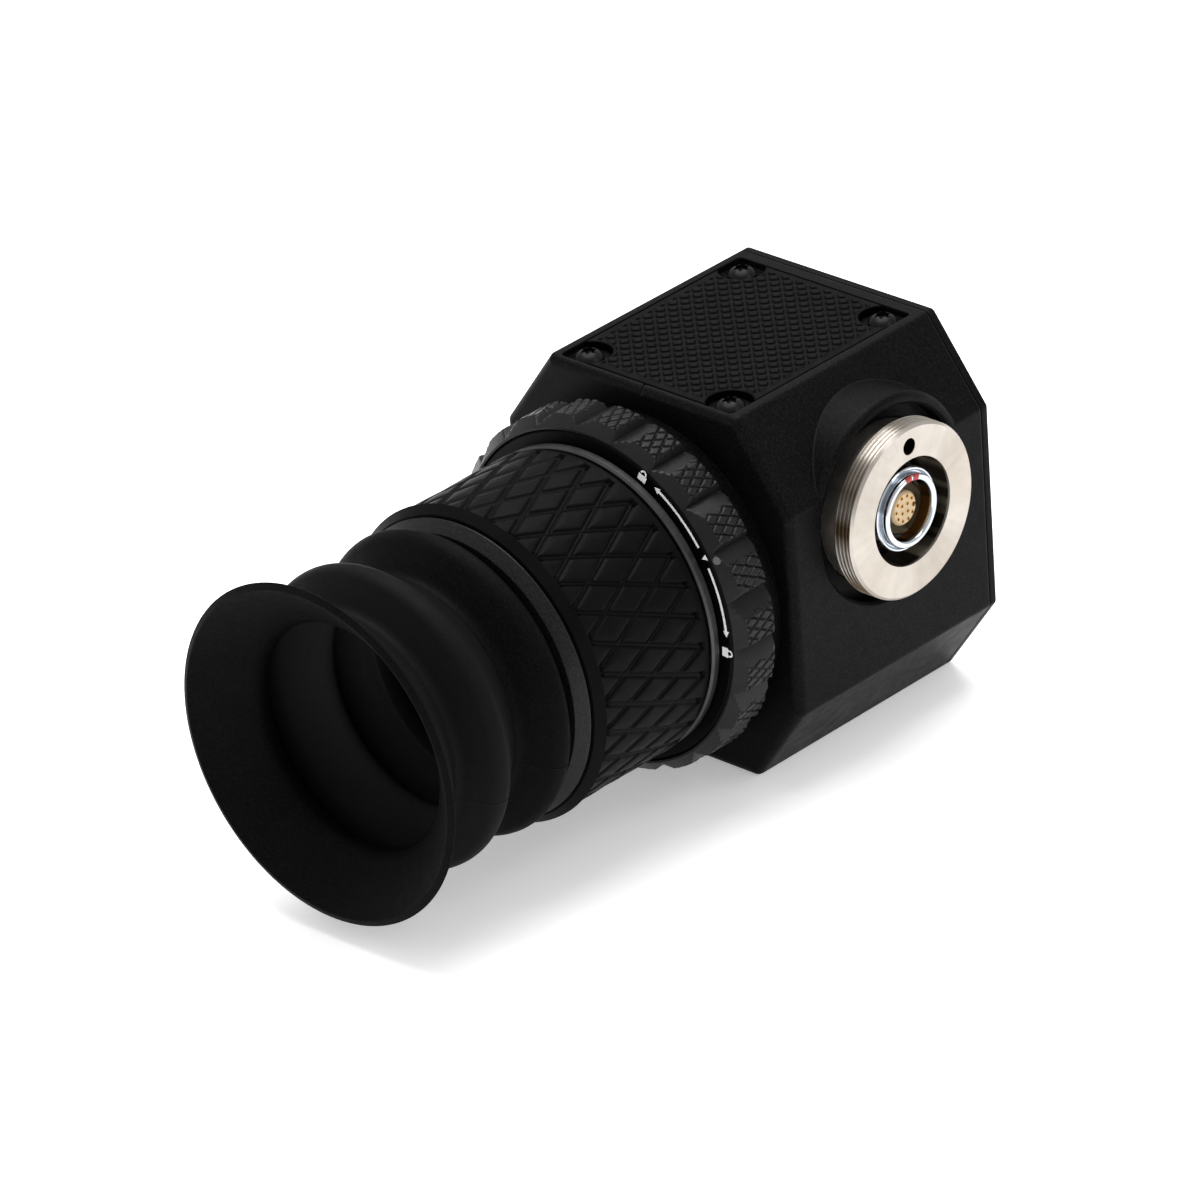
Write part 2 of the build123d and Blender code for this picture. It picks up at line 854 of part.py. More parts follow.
def index_ring():
    edge = index_ring_radius - edge_break
    back = lock_front - index_ring_thickness
    return eye_frame * turned(
        (back, hub_radius), (back, index_ring_radius), (lock_front - edge_break, index_ring_radius),
        (lock_front, edge), (lock_front, hub_radius),
    )


# Groove across the lock ring's rim, with one steep side and one shallow side
def rim_notch(angle):
    reach = lock_radius + overrun
    half_wide = notch_wide_degrees / 2
    corners = [on_circle(lock_radius - ring_notch_depth, angle + half_wide - notch_steep_degrees)]
    for side in (half_wide, -half_wide):
        corners.append(on_circle(reach, angle + side * reach / lock_radius))
    cutter = extrude(make_face(Polyline(*corners, close=True)), lock_length + 2 * overrun)
    return Pos(0, 0, lock_back - overrun) * cutter


# Pocket inside the lock ring whose floor climbs, so that turning the ring lets one lock pin in or out
def ramp_pocket(angle):
    reach = lock_turn_degrees + degrees(asin((pin_radius + seat_gap) / pin_inner))
    floor = []
    for step in range(ramp_steps + 1):
        turn = reach - 2 * reach * step / ramp_steps
        depth = pin_outer + ramp_clearance - pin_travel * turn / lock_turn_degrees
        floor.append(on_circle(depth, angle + turn))
    mouth = [on_circle(pin_inner, angle + turn) for turn in (-reach, 0, reach)]
    half_width = pin_radius + seat_gap
    cutter = extrude(make_face(Polyline(*floor, *mouth, close=True)), 2 * half_width)
    return Pos(0, 0, pin_place - half_width) * cutter


def lock_ring():
    shoulder = lock_front - index_ring_thickness - seat_gap
    front_bore = index_ring_radius + seat_gap
    ring_bore = hub_radius + running_fit
    ring = turned(
        (lock_back, ring_bore), (lock_back, lock_radius - lock_back_chamfer),
        (lock_back + lock_back_chamfer, lock_radius), (lock_front - lock_cone_length, lock_radius),
        (lock_front, front_bore + lock_front_rim), (lock_front, front_bore), (shoulder, front_bore),
        (shoulder, ring_bore),
    )
    for angle in lock_pin_angles():
        ring -= ramp_pocket(angle)
    for angle in evenly_spaced(notch_count, index_angle_degrees):
        ring -= rim_notch(angle)
    return eye_frame * ring


def lock_pin(angle):
    tip = pin_radius - edge_break
    pin = turned(
        (pin_inner, 0), (pin_inner, tip), (pin_inner + edge_break, pin_radius),
        (pin_outer - edge_break, pin_radius), (pin_outer, tip), (pin_outer, 0),
    )
    return eye_frame * outwards(angle, pin_place) * pin


# Groove in the spigot that the lock pins drop into
def pin_groove():
    half_width = pin_radius + seat_gap
    floor = pin_inner - pin_travel - seat_gap
    return sleeve(pin_place - half_width, pin_place + half_width, spigot_radius + overrun, floor)


# Groove in the tube that the o-ring lies in
def o_ring_groove():
    place = barrel_back + o_ring_inset
    half_ring = o_ring_thickness / 2
    return sleeve(place - half_ring, place + half_ring, tube_radius + overrun, tube_radius - o_ring_thickness)


def eyepiece_tube():
    spigot_back = tube_back - spigot_length
    floor_front = tube_back + tube_floor
    tube = turned(
        (spigot_back, spigot_bore_radius), (spigot_back, spigot_radius), (tube_back, spigot_radius),
        (tube_back, tube_radius), (tube_front, tube_radius), (tube_front, tube_bore_radius),
        (floor_front, tube_bore_radius), (floor_front, spigot_bore_radius),
    )
    tube = tube - pin_groove() - o_ring_groove()
    slot_width = 2 * (guide_pin_radius + seat_gap)
    slot = extrude(SlotOverall(slot_width + 2 * focus_travel, slot_width), tube_radius + overrun)
    for angle in guide_pin_angles():
        tube -= outwards(angle, guide_place) * slot
    return eye_frame * tube


def trim_ring():
    front = tube_back + trim_ring_thickness
    edge = trim_ring_radius - edge_break
    return eye_frame * turned(
        (tube_back, tube_radius), (tube_back, edge), (tube_back + edge_break, trim_ring_radius),
        (front - edge_break, trim_ring_radius), (front, edge), (front, tube_radius),
    )


def barrel_o_ring():
    half_ring = o_ring_thickness / 2
    return eye_frame * Pos(0, 0, barrel_back + o_ring_inset) * Torus(tube_radius - half_ring, half_ring)


# Cutter for one screw-shaped groove on the inside of the focus barrel
def drive_groove(angle):
    reach = focus_turn_degrees + groove_spare_degrees
    rise = focus_travel * reach / focus_turn_degrees
    lead = focus_travel * 360 / focus_turn_degrees
    middle_radius = barrel_bore_radius + (groove_depth - overrun) / 2
    climb = atan(lead / (2 * pi * middle_radius))
    width = 2 * (guide_pin_radius + groove_clearance) / cos(climb)
    path = Helix(pitch=lead, height=2 * rise, radius=middle_radius, lefthand=True)
    start = Plane(origin=path @ 0, x_dir=(1, 0, 0), z_dir=path % 0)
    cutter = sweep(start * Rectangle(groove_depth + overrun, width), path, is_frenet=True)
    return Rot(0, 0, angle + reach) * Pos(0, 0, guide_place - rise) * cutter


def focus_barrel():
    rim_radius_back = barrel_radius - barrel_rim_step
    rim_front = barrel_back + barrel_rim_length
    lip_back = barrel_front - barrel_lip_length
    lip_radius = barrel_radius + barrel_lip_rise
    barrel = turned(
        (barrel_back, barrel_bore_radius), (barrel_back, rim_radius_back - edge_break),
        (barrel_back + edge_break, rim_radius_back), (rim_front, rim_radius_back), (rim_front, barrel_radius),
        (lip_back - edge_break, barrel_radius), (lip_back, lip_radius),
        (barrel_front, lip_radius - barrel_lip_fall), (barrel_front, barrel_bore_radius),
    )
    for angle in guide_pin_angles():
        barrel -= drive_groove(angle)
    return eye_frame * barrel


# Inner end of a guide pin, which stops short of the lenses
def pin_foot():
    return cell_bore_radius + edge_break


def lens_cell():
    cell_front = cell_back + cell_length
    cell = turned(
        (cell_back, lens_clear_radius), (cell_back, cell_radius), (cell_front, cell_radius),
        (cell_front, cell_bore_radius), (field_lens_place, cell_bore_radius),
        (field_lens_place, lens_clear_radius),
    )
    for angle in guide_pin_angles():
        cell -= outwards(angle, guide_place) * Pos(0, 0, pin_foot()) * rod(guide_pin_radius, cell_radius)
    return eye_frame * cell


def guide_pins():
    tip = groove_floor_radius - edge_break
    pin = turned(
        (pin_foot(), 0), (pin_foot(), guide_pin_radius), (tip - edge_break, guide_pin_radius),
        (tip, guide_pin_radius - edge_break), (tip, 0),
    )
    return [eye_frame * outwards(angle, guide_place) * pin for angle in guide_pin_angles()]


# Glass with a plain edge between two places and a dome on both faces
def lens(back, front, back_bulge, front_bulge):
    rim = Polyline(
        (lens_clear_radius, 0, back), (lens_radius, 0, back),
        (lens_radius, 0, front), (lens_clear_radius, 0, front)
    )
    domes = dome(lens_clear_radius, back, -back_bulge) + dome(lens_clear_radius, front, front_bulge)
    middle = Line((0, 0, back - back_bulge), (0, 0, front + front_bulge))
    return eye_frame * revolve(make_face(rim + domes + middle), Axis.Z)


def field_lens():
    return lens(field_lens_place, spacer_place, field_lens_back_bulge, field_lens_front_bulge)


def lens_spacer():
    return eye_frame * sleeve(spacer_place, eye_lens_place, lens_radius, lens_clear_radius)


def eye_lens():
    return lens(eye_lens_place, cell_ring_place, eye_lens_bulge, eye_lens_bulge)


def cell_ring():
    front = cell_ring_place + cell_ring_thickness
    return eye_frame * sleeve(cell_ring_place, front, cell_bore_radius, lens_clear_radius)


def eyecup_retainer():
    bore = cup_neck_radius + seat_gap
    return eye_frame * turned(
        (retainer_back, tube_radius), (retainer_back, retainer_radius),
        (retainer_back + retainer_rim, retainer_radius), (retainer_front, retainer_radius - retainer_fall),
        (retainer_front, bore), (tube_front, bore), (tube_front, tube_radius),
    )


# Skin of the bellows through its folds, rounded at each and made of short straight runs
def bellows_skin(folds):
    line = FilletPolyline(*folds, radius=cup_fold_round)
    return Polyline(*[line @ (step / cup_skin_steps) for step in range(cup_skin_steps + 1)])


# Outer folds of the bellows, each with its length along the axis and its radius
def bellows_folds():
    return [
        (cup_step_length, cup_step_radius),
        (first_crest_length, first_crest_radius), (first_shoulder_length, first_shoulder_radius),
        (first_valley_length, first_valley_radius),
        (second_crest_length, second_crest_radius), (second_shoulder_length, second_shoulder_radius),
    ]


# Rubber eyecup: a spigot in the retainer, two folds, a short throat and a flared mouth
def eyecup():
    place = retainer_front
    outer = [(cup_neck_radius, 0, place)]
    inner = [(cup_neck_radius - cup_wall, 0, place)]
    for length, radius in bellows_folds():
        place += length
        outer.append((radius, 0, place))
        inner.append((radius - cup_wall, 0, place))
    second_valley = place + second_valley_length
    throat = second_valley + throat_length
    rim = throat + flare_length
    outer += [(second_valley_radius, 0, second_valley), (rim_radius, 0, rim - rim_width / 2)]
    inner += [(throat_radius, 0, second_valley), (throat_radius, 0, throat)]
    mouth = [outer[-1], (rim_radius - rim_width, 0, rim), inner[-1]]
    foot = retainer_front - cup_spigot_length
    spigot = [outer[0], (cup_neck_radius, 0, foot), (cup_neck_radius - cup_wall, 0, foot), inner[0]]
    outline = bellows_skin(outer) + Polyline(*mouth) + bellows_skin(inner) + Polyline(*spigot)
    return eye_frame * revolve(make_face(outline), Axis.Z)


pieces = {
    "housing_shell": housing_shell(),
    "rear_gasket": rear_gasket(),
    "rear_cover": rear_cover(),
    "rear_cover_screws": rear_cover_screws(),
    "top_grip_plate": top_grip_plate(),
    "top_plate_screws": top_plate_screws(),
    "connector_collar": connector_collar(),
    "collar_seal": collar_seal(),
    "collar_nut": collar_nut(),
    "socket_shell": socket_shell(),
    "socket_insert": socket_insert(),
    "socket_contacts": socket_contacts(),
    "socket_nut": socket_nut(),
    "socket_adapter": socket_adapter(),
    "socket_ribbon": socket_ribbon(),
    "display_ribbon": display_ribbon(),
    "ribbon_headers": ribbon_headers(),
    "driver_board": driver_board(),
    "board_standoffs": board_standoffs(),
    "board_screws": board_screws(),
    "processor": processor(),
    "heat_pad": heat_pad(),
    "board_chips": board_chips(),
    "display_frame": display_frame(),
    "display_glass": display_glass(),
    "microdisplay": microdisplay(),
    "display_board": display_board(),
    "frame_screws": frame_screws(),
    "front_window": front_window(),
    "window_ring": window_ring(),
    "mount_flange": mount_flange(),
    "flange_screws": flange_screws(),
    "index_ring": index_ring(),
    "lock_ring": lock_ring(),
    "eyepiece_tube": eyepiece_tube(),
    "trim_ring": trim_ring(),
    "barrel_o_ring": barrel_o_ring(),
    "focus_barrel": focus_barrel(),
    "lens_cell": lens_cell(),
    "guide_pins": guide_pins(),
    "field_lens": field_lens(),
    "lens_spacer": lens_spacer(),
    "eye_lens": eye_lens(),
    "cell_ring": cell_ring(),
    "eyecup_retainer": eyecup_retainer(),
    "eyecup": eyecup(),
}
for number, angle in enumerate(lock_pin_angles(), 1):
    pieces[f"lock_pin_{number}"] = lock_pin(angle)

os.makedirs("parts", exist_ok=True)
for name, shape in pieces.items():
    solid = Compound(children=shape) if isinstance(shape, list) else shape
    export_step(solid, f"parts/{name}.step")
    print(name, round(solid.volume, 1))
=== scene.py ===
import math

import bmesh
import bpy
import numpy as np
from mathutils import Matrix, Vector


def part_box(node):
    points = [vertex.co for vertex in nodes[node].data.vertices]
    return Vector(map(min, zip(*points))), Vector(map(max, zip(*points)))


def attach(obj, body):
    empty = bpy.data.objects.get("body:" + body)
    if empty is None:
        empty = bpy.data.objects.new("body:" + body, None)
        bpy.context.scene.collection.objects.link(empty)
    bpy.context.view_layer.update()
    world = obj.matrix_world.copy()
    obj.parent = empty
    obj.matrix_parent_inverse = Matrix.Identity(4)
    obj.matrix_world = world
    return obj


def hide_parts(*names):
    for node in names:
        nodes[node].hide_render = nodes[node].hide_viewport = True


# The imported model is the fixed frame: metres, Z up, the eye towards -Y and the collar towards +X
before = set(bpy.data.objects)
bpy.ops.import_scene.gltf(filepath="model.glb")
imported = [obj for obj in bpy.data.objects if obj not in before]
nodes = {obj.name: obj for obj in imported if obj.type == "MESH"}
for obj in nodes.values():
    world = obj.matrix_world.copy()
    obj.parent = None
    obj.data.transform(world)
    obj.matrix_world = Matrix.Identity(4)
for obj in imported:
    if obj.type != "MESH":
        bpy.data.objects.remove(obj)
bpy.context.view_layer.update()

mm = 0.001
axisHeight = 28.4   # optical axis above the base, mm
boxFront = -21.3    # front face of the box, mm
print("frame loaded:", len(nodes), "nodes")


# Materials

# Every finish: base colour (linear), roughness, specular level and metal, and how its surface varies.
# tone is the strength and size of soft blotches, grain the depth and size of the fine relief, and
# paintedGlint the strength and size of painted glints, tiny pale spots. softEdge is the radius that edges
# seem rounded by.
# All these lengths are in mm. edgeHighlight is how soon edges take a paler painted highlight,
# paintedLightShade how far grooves take a painted shade, and the eyecup's inside a painted light, towards a
# shade which is times the base colour, and turned names the axis of lathe lines.
finishes = {
    "black_anodised": {
        "base": (0.0019, 0.0019, 0.0020), "rough": 0.44, "spec": 0.042,
        "tone": (0.16, 6.0), "grain": (0.014, 0.22),
        "softEdge": 0.45, "edgeHighlight": 5.0, "paintedGlint": (0.50, 0.30),
    },
    "grip_black": {
        "base": (0.0085, 0.0085, 0.0087), "rough": 0.46, "spec": 0.010,
        "tone": (0.16, 3.0), "grain": (0.009, 0.12), "paintedLightShade": (0.90, 0.05),
    },
    "ring_black": {
        "base": (0.0105, 0.0105, 0.0107), "rough": 0.29, "spec": 0.125,
        "tone": (0.16, 3.0), "grain": (0.006, 0.10), "turned": "eye", "paintedLightShade": (0.95, 0.05),
    },
    "print_band": {
        "base": (0.0014, 0.0014, 0.0015), "rough": 0.42, "spec": 0.05,
        "tone": (0.15, 3.0), "grain": (0.005, 0.10), "turned": "eye",
    },
    "barrel_black": {
        "base": (0.0032, 0.0032, 0.0033), "rough": 0.42, "spec": 0.030,
        "tone": (0.18, 4.0), "grain": (0.014, 0.13), "paintedLightShade": (0.72, 0.05),
    },
    "collar_steel": {
        "base": (0.51, 0.472, 0.427), "rough": 0.34, "metal": 1.0, "brushed": 0.75,
        "tone": (0.06, 4.0), "grain": (0.004, 0.07), "turned": "collar",
        # Scales here are of noise round the collar: a larger one makes narrower patches
        # sectorSheen: painted reflection in sectors round the collar's face
        "sectorSheen": {"strength": 0.42, "wideScale": 1.5, "fineScale": 14, "wideShare": 0.8,
                    "shade": (0.42, 0.34, 0.26)},
        # threadShade: painted shade on the collar's threaded side
        "threadShade": {"radius": 11.9, "face": 30.25, "strength": 0.90, "shade": (0.115, 0.080, 0.046),
                    "scale": 5 / 3, "range": (-0.6, 1.8)},
        # Each hole along X gets a painted shade inside: its middle in Y and Z, its radius, the X of its rim
        # and its shade, and for a polished wall the painted reflections, bright patches round it
        "holes": [
            {"middle": (-0.2, 47.35), "radius": 1.3, "rim": 30.45, "shade": (0.01, 0.01, 0.01)},
            {"middle": (-0.2, 37.25), "radius": 8.1, "rim": 30.2, "shade": (0.045, 0.034, 0.022),
             "bright": (0.40, 0.34, 0.25), "scale": 2.5, "range": (-1.2, 1.4)},
        ],
    },
    "screw_steel": {
        "base": (0.55, 0.55, 0.57), "rough": 0.28, "metal": 1.0,
        "tone": (0.12, 1.0), "grain": (0.003, 0.08),
    },
    "screw_black": {
        "base": (0.0026, 0.0026, 0.0027), "rough": 0.32, "spec": 0.12,
        "tone": (0.20, 0.8), "grain": (0.004, 0.10),
    },
    "nut_brass": {
        "base": (0.62, 0.42, 0.14), "rough": 0.30, "metal": 1.0,
        "tone": (0.14, 2.0), "grain": (0.004, 0.08), "turned": "collar",
    },
    "socket_chrome": {
        "base": (0.54, 0.57, 0.61), "rough": 0.13, "metal": 1.0,
        "tone": (0.08, 2.0), "grain": (0.002, 0.07), "turned": "collar",
        # Painted shade inside the socket's bore
        "holes": [{"middle": (-0.2, 37.25), "radius": 4.6, "rim": 29.9, "shade": (0.24, 0.130, 0.045)}],
    },
    "trim_black": {
        "base": (0.062, 0.062, 0.064), "rough": 0.46, "metal": 1.0,
        "tone": (0.12, 3.0), "grain": (0.002, 0.08), "turned": "eye",
    },
    "retainer_black": {
        "base": (0.0050, 0.0050, 0.0052), "rough": 0.36, "spec": 0.17,
        "tone": (0.14, 3.0), "grain": (0.004, 0.09), "turned": "eye", "paintedGlint": (0.40, 0.24),
    },
    "inner_aluminium": {
        "base": (0.10, 0.105, 0.115), "rough": 0.38, "metal": 0.8,
        "tone": (0.14, 3.0), "grain": (0.005, 0.10), "turned": "eye",
    },
    "cup_rubber": {
        "base": (0.0023, 0.0023, 0.0024), "rough": 0.52, "spec": 0.027,
        "tone": (0.16, 5.0), "grain": (0.014, 0.22), "paintedLightShade": (1.0, 11.0), "paintedGlint": (0.22, 0.28),
    },
    "seal_rubber": {
        "base": (0.0030, 0.0030, 0.0031), "rough": 0.66, "spec": 0.10,
        "tone": (0.20, 2.0), "grain": (0.010, 0.15),
    },
    "pad_rubber": {
        "base": (0.17, 0.19, 0.22), "rough": 0.72, "spec": 0.35,
        "tone": (0.15, 2.0), "grain": (0.020, 0.25),
    },
    "insert_plastic": {
        "base": (0.55, 0.42, 0.255), "rough": 0.46, "spec": 0.45,
        "tone": (0.12, 1.5), "grain": (0.005, 0.12),
    },
    "contact_gold": {
        "base": (0.50, 0.31, 0.12), "rough": 0.22, "metal": 1.0,
        "tone": (0.10, 0.5), "grain": (0.002, 0.05),
    },
    "board_green": {
        "base": (0.006, 0.060, 0.024), "rough": 0.36, "spec": 0.5,
        "tone": (0.12, 4.0), "grain": (0.006, 0.20), "traces": 1.3,
    },
    "chip_black": {
        "base": (0.014, 0.014, 0.015), "rough": 0.55, "spec": 0.4,
        "tone": (0.18, 1.5), "grain": (0.010, 0.14),
    },
    "ribbon_amber": {
        "base": (0.42, 0.13, 0.016), "rough": 0.32, "spec": 0.5,
        "tone": (0.12, 2.0), "grain": (0.004, 0.20), "stripes": 0.55,
    },
    "frame_plastic": {
        "base": (0.016, 0.016, 0.016), "rough": 0.52, "spec": 0.4,
        "tone": (0.15, 3.0), "grain": (0.008, 0.18),
    },
    "display_black": {
        "base": (0.004, 0.004, 0.006), "rough": 0.10, "spec": 0.6,
        "tone": (0.20, 3.0), "grain": (0.001, 0.20), "stripes": 0.18,
    },
    "clear_glass": {
        "base": (0.93, 0.97, 0.98), "rough": 0.03, "spec": 0.5, "clear": 0.96,
        "tone": (0.02, 8.0), "grain": (0.0005, 0.80),
    },
    "mark_white": {
        "base": (0.95, 0.95, 0.94), "rough": 0.55, "spec": 0.4,
        "tone": (0.08, 0.6), "grain": (0.004, 0.10),
    },
    "mark_grey": {
        "base": (0.085, 0.085, 0.085), "rough": 0.45, "spec": 0.4,
        "tone": (0.15, 0.4), "grain": (0.004, 0.10),
    },
    "mark_red": {
        "base": (0.34, 0.014, 0.010), "rough": 0.45, "spec": 0.45,
        "tone": (0.12, 0.6), "grain": (0.003, 0.10),
    },
}

# What the finishes share. Shades are times the base colour.
surface = {
    "noiseRough": 0.55,
    "noiseRange": (0.3, 0.7),        # nearly all of a noise lies between these
    "blotchRange": (0.32, 0.68),
    "roughSize": 0.35,               # blotches of roughness, as a share of the colour's
    "roughRange": (0.88, 1.12),
    # Shades of the painted glints and the painted edge highlights
    "paintedGlintRange": (-0.6, 1.2), "paintedGlintShade": 5,
    "highlightShade": 7,
    "edgeSamples": 6,
    "axisLean": (0.7, 0, 0),         # how far the brushed direction leans along the collar's axis
    "tracks": {"Mortar Size": 0.06, "Brick Width": 0.9, "Row Height": 0.35},
    "trackColour": (0.05, 0.20, 0.08),
    "waveLength": 0.31,              # of the wave texture at scale 1
    "stripeStrength": 0.6, "stripeShade": 2.2,
    "sockets": {"metal": "Metallic", "spec": "Specular IOR Level", "clear": "Transmission Weight",
                "brushed": "Anisotropic"},
}

# The two axes that turned pieces are turned about: the two directions out of the axis, the one along it,
# and where it crosses the first two, in metres
turningAxes = {
    "eye": {"radial": ("X", "Z"), "along": "Y", "centre": (0.0, axisHeight * mm)},
    "collar": {"radial": ("Y", "Z"), "along": "X", "centre": (-0.2 * mm, 37.25 * mm)},
}


def shades(base, times):
    return [min(1.0, value * times) for value in base]


def addNode(tree, kind, values=None, **settings):
    node = tree.nodes.new(kind)
    for key, value in settings.items():
        setattr(node, key, value)
    for key, value in (values or {}).items():
        node.inputs[key].default_value = value
    return node


def addMath(tree, operation, first, second):
    node = addNode(tree, "ShaderNodeMath", operation=operation)
    for slot, value in ((0, first), (1, second)):
        if isinstance(value, (int, float)):
            node.inputs[slot].default_value = value
        else:
            tree.links.new(value, node.inputs[slot])
    return node.outputs[0]


def addVector(tree, operation, first, second=None):
    # second is a fixed direction or another node's; only a dot product gives a plain value
    node = addNode(tree, "ShaderNodeVectorMath", operation=operation)
    tree.links.new(first, node.inputs[0])
    if isinstance(second, tuple):
        node.inputs[1].default_value = second
    elif second is not None:
        tree.links.new(second, node.inputs[1])
    return node.outputs["Value" if operation == "DOT_PRODUCT" else "Vector"]


def splitPlace(tree, place):
    parts = addNode(tree, "ShaderNodeSeparateXYZ")
    tree.links.new(place, parts.inputs[0])
    return parts.outputs


def axisDistance(tree, parts, letters, middle):
    # Distance from the axis that crosses middle, in metres
    squares = []
    for letter, value in zip(letters, middle):
        offset = addMath(tree, "SUBTRACT", parts[letter], value)
        squares.append(addMath(tree, "MULTIPLY", offset, offset))
    return addMath(tree, "SQRT", addMath(tree, "ADD", squares[0], squares[1]), 0.0)


def lathePlace(tree, place, axis):
    # Distance from the turning axis and place along it, so that noise becomes fine rings
    turning = turningAxes[axis]
    parts = splitPlace(tree, place)
    joined = addNode(tree, "ShaderNodeCombineXYZ")
    tree.links.new(axisDistance(tree, parts, turning["radial"], turning["centre"]), joined.inputs[0])
    tree.links.new(parts[turning["along"]], joined.inputs[1])
    return joined.outputs[0]


def outwards(tree, place):
    # Unit direction out of the collar's axis
    spread = addVector(tree, "SUBTRACT", place, (0, *turningAxes["collar"]["centre"]))
    return addVector(tree, "NORMALIZE", addVector(tree, "MULTIPLY", spread, (0, 1, 1)))


def noiseOf(tree, place, size, detail=3.0):
    # size is one blotch in mm
    noise = addNode(tree, "ShaderNodeTexNoise",
                    {"Scale": 1.0 / (size * mm), "Detail": detail, "Roughness": surface["noiseRough"]})
    tree.links.new(place, noise.inputs["Vector"])
    return noise.outputs["Fac"]


def between(tree, fac, low, high):
    start, stop = surface["noiseRange"]
    node = addNode(tree, "ShaderNodeMapRange",
                   {"From Min": start, "From Max": stop, "To Min": low, "To Max": high})
    tree.links.new(fac, node.inputs["Value"])
    return node.outputs["Result"]


def sectorNoise(tree, place, scale, span, detail):
    # Noise that differs only with the angle round the collar
    return between(tree, noiseOf(tree, outwards(tree, place), 1 / (scale * mm), detail), *span)


def colourBetween(tree, fac, low, high):
    ramp = addNode(tree, "ShaderNodeValToRGB")
    for stop, position, colour in zip(ramp.color_ramp.elements, surface["blotchRange"], (low, high)):
        stop.position = position
        stop.color = (*colour, 1)
    tree.links.new(fac, ramp.inputs["Fac"])
    return ramp.outputs["Color"]


def mixColour(tree, fac, first, second, blend="MIX"):
    node = addNode(tree, "ShaderNodeMix", data_type="RGBA", blend_type=blend)
    tree.links.new(fac, node.inputs["Factor"])
    tree.links.new(first, node.inputs["A"])
    node.inputs["B"].default_value = (*second, 1)
    return node.outputs["Result"]


def boardTraces(tree, place, colour, width):
    # Pale tracks under the solder mask
    bricks = addNode(tree, "ShaderNodeTexBrick", {"Scale": 1.0 / (width * mm), **surface["tracks"]})
    tree.links.new(place, bricks.inputs["Vector"])
    return mixColour(tree, bricks.outputs["Fac"], colour, surface["trackColour"])


def sideStripes(tree, place, colour, width, stripe):
    # Narrow lines across X
    scale = surface["waveLength"] / (width * mm)
    wave = addNode(tree, "ShaderNodeTexWave", {"Scale": scale}, bands_direction="X")
    tree.links.new(place, wave.inputs["Vector"])
    share = addMath(tree, "MULTIPLY", wave.outputs["Fac"], surface["stripeStrength"])
    return mixColour(tree, share, colour, stripe)


def paintSectorSheen(tree, place, colour, sectorSheen):
    # Painted reflection: the shine of turned metal, as paler and warmer sectors round the collar
    wide = sectorNoise(tree, place, sectorSheen["wideScale"], (0.0, 1.0), detail=2.0)
    fine = sectorNoise(tree, place, sectorSheen["fineScale"], (0.0, 1.0), detail=3.0)
    both = addMath(tree, "ADD", addMath(tree, "MULTIPLY", wide, sectorSheen["wideShare"]),
                   addMath(tree, "MULTIPLY", fine, 1 - sectorSheen["wideShare"]))
    share = addMath(tree, "MULTIPLY", both, sectorSheen["strength"])
    return mixColour(tree, share, colour, sectorSheen["shade"], "MULTIPLY")


def paintThreadShade(tree, place, colour, threadShade):
    # Painted shade, standing in for dark reflections, on the threaded side behind the face: darker and
    # warmer, in patches that come and go round the collar
    parts = splitPlace(tree, place)
    collar = turningAxes["collar"]
    distance = axisDistance(tree, parts, collar["radial"], collar["centre"])
    wide = addMath(tree, "GREATER_THAN", distance, threadShade["radius"] * mm)
    behind = addMath(tree, "LESS_THAN", parts["X"], threadShade["face"] * mm)
    patches = sectorNoise(tree, place, threadShade["scale"], threadShade["range"], detail=1.0)
    share = addMath(tree, "MULTIPLY", addMath(tree, "MULTIPLY", wide, behind), patches)
    return mixColour(tree, addMath(tree, "MULTIPLY", share, threadShade["strength"]), colour, threadShade["shade"])


def paintHoleShade(tree, place, colour, hole):
    # Painted shade below the rim of a hole along X, and on a polished wall painted reflections in bright
    # patches
    parts = splitPlace(tree, place)
    distance = axisDistance(tree, parts, ("Y", "Z"), [value * mm for value in hole["middle"]])
    near = addMath(tree, "LESS_THAN", distance, hole["radius"] * mm)
    deep = addMath(tree, "LESS_THAN", parts["X"], hole["rim"] * mm)
    inside = addMath(tree, "MULTIPLY", near, deep)
    dark = mixColour(tree, inside, colour, hole["shade"])
    if "bright" not in hole:
        return dark
    patches = sectorNoise(tree, place, hole["scale"], hole["range"], detail=1.0)
    return mixColour(tree, addMath(tree, "MULTIPLY", inside, patches), dark, hole["bright"])


def paintLightAndShade(tree, colour, strength, shade):
    # The pieces made below carry, as "paintedLightShade", how far a place takes a painted shade, in grooves
    # and creases, and inside the eyecup a painted light, up to 1
    depth = addNode(tree, "ShaderNodeAttribute", attribute_name="paintedLightShade")
    return mixColour(tree, addMath(tree, "MULTIPLY", depth.outputs["Fac"], strength), colour, shade)


def paintEdgeHighlights(tree, edge, colour, strength, shade):
    # Painted highlight along edges: paler where the rounded direction differs from the face's own
    straight = addNode(tree, "ShaderNodeNewGeometry").outputs["Normal"]
    bend = addMath(tree, "SUBTRACT", 1.0, addVector(tree, "DOT_PRODUCT", edge, straight))
    return mixColour(tree, addMath(tree, "MULTIPLY", bend, strength), colour, shade)


def paintGlints(tree, place, colour, paintedGlint, shade):
    # Painted glints: tiny pale spots on blasted metal and moulded rubber
    strength, size = paintedGlint
    spots = between(tree, noiseOf(tree, place, size, detail=1.0), *surface["paintedGlintRange"])
    return mixColour(tree, addMath(tree, "MULTIPLY", spots, strength), colour, shade)


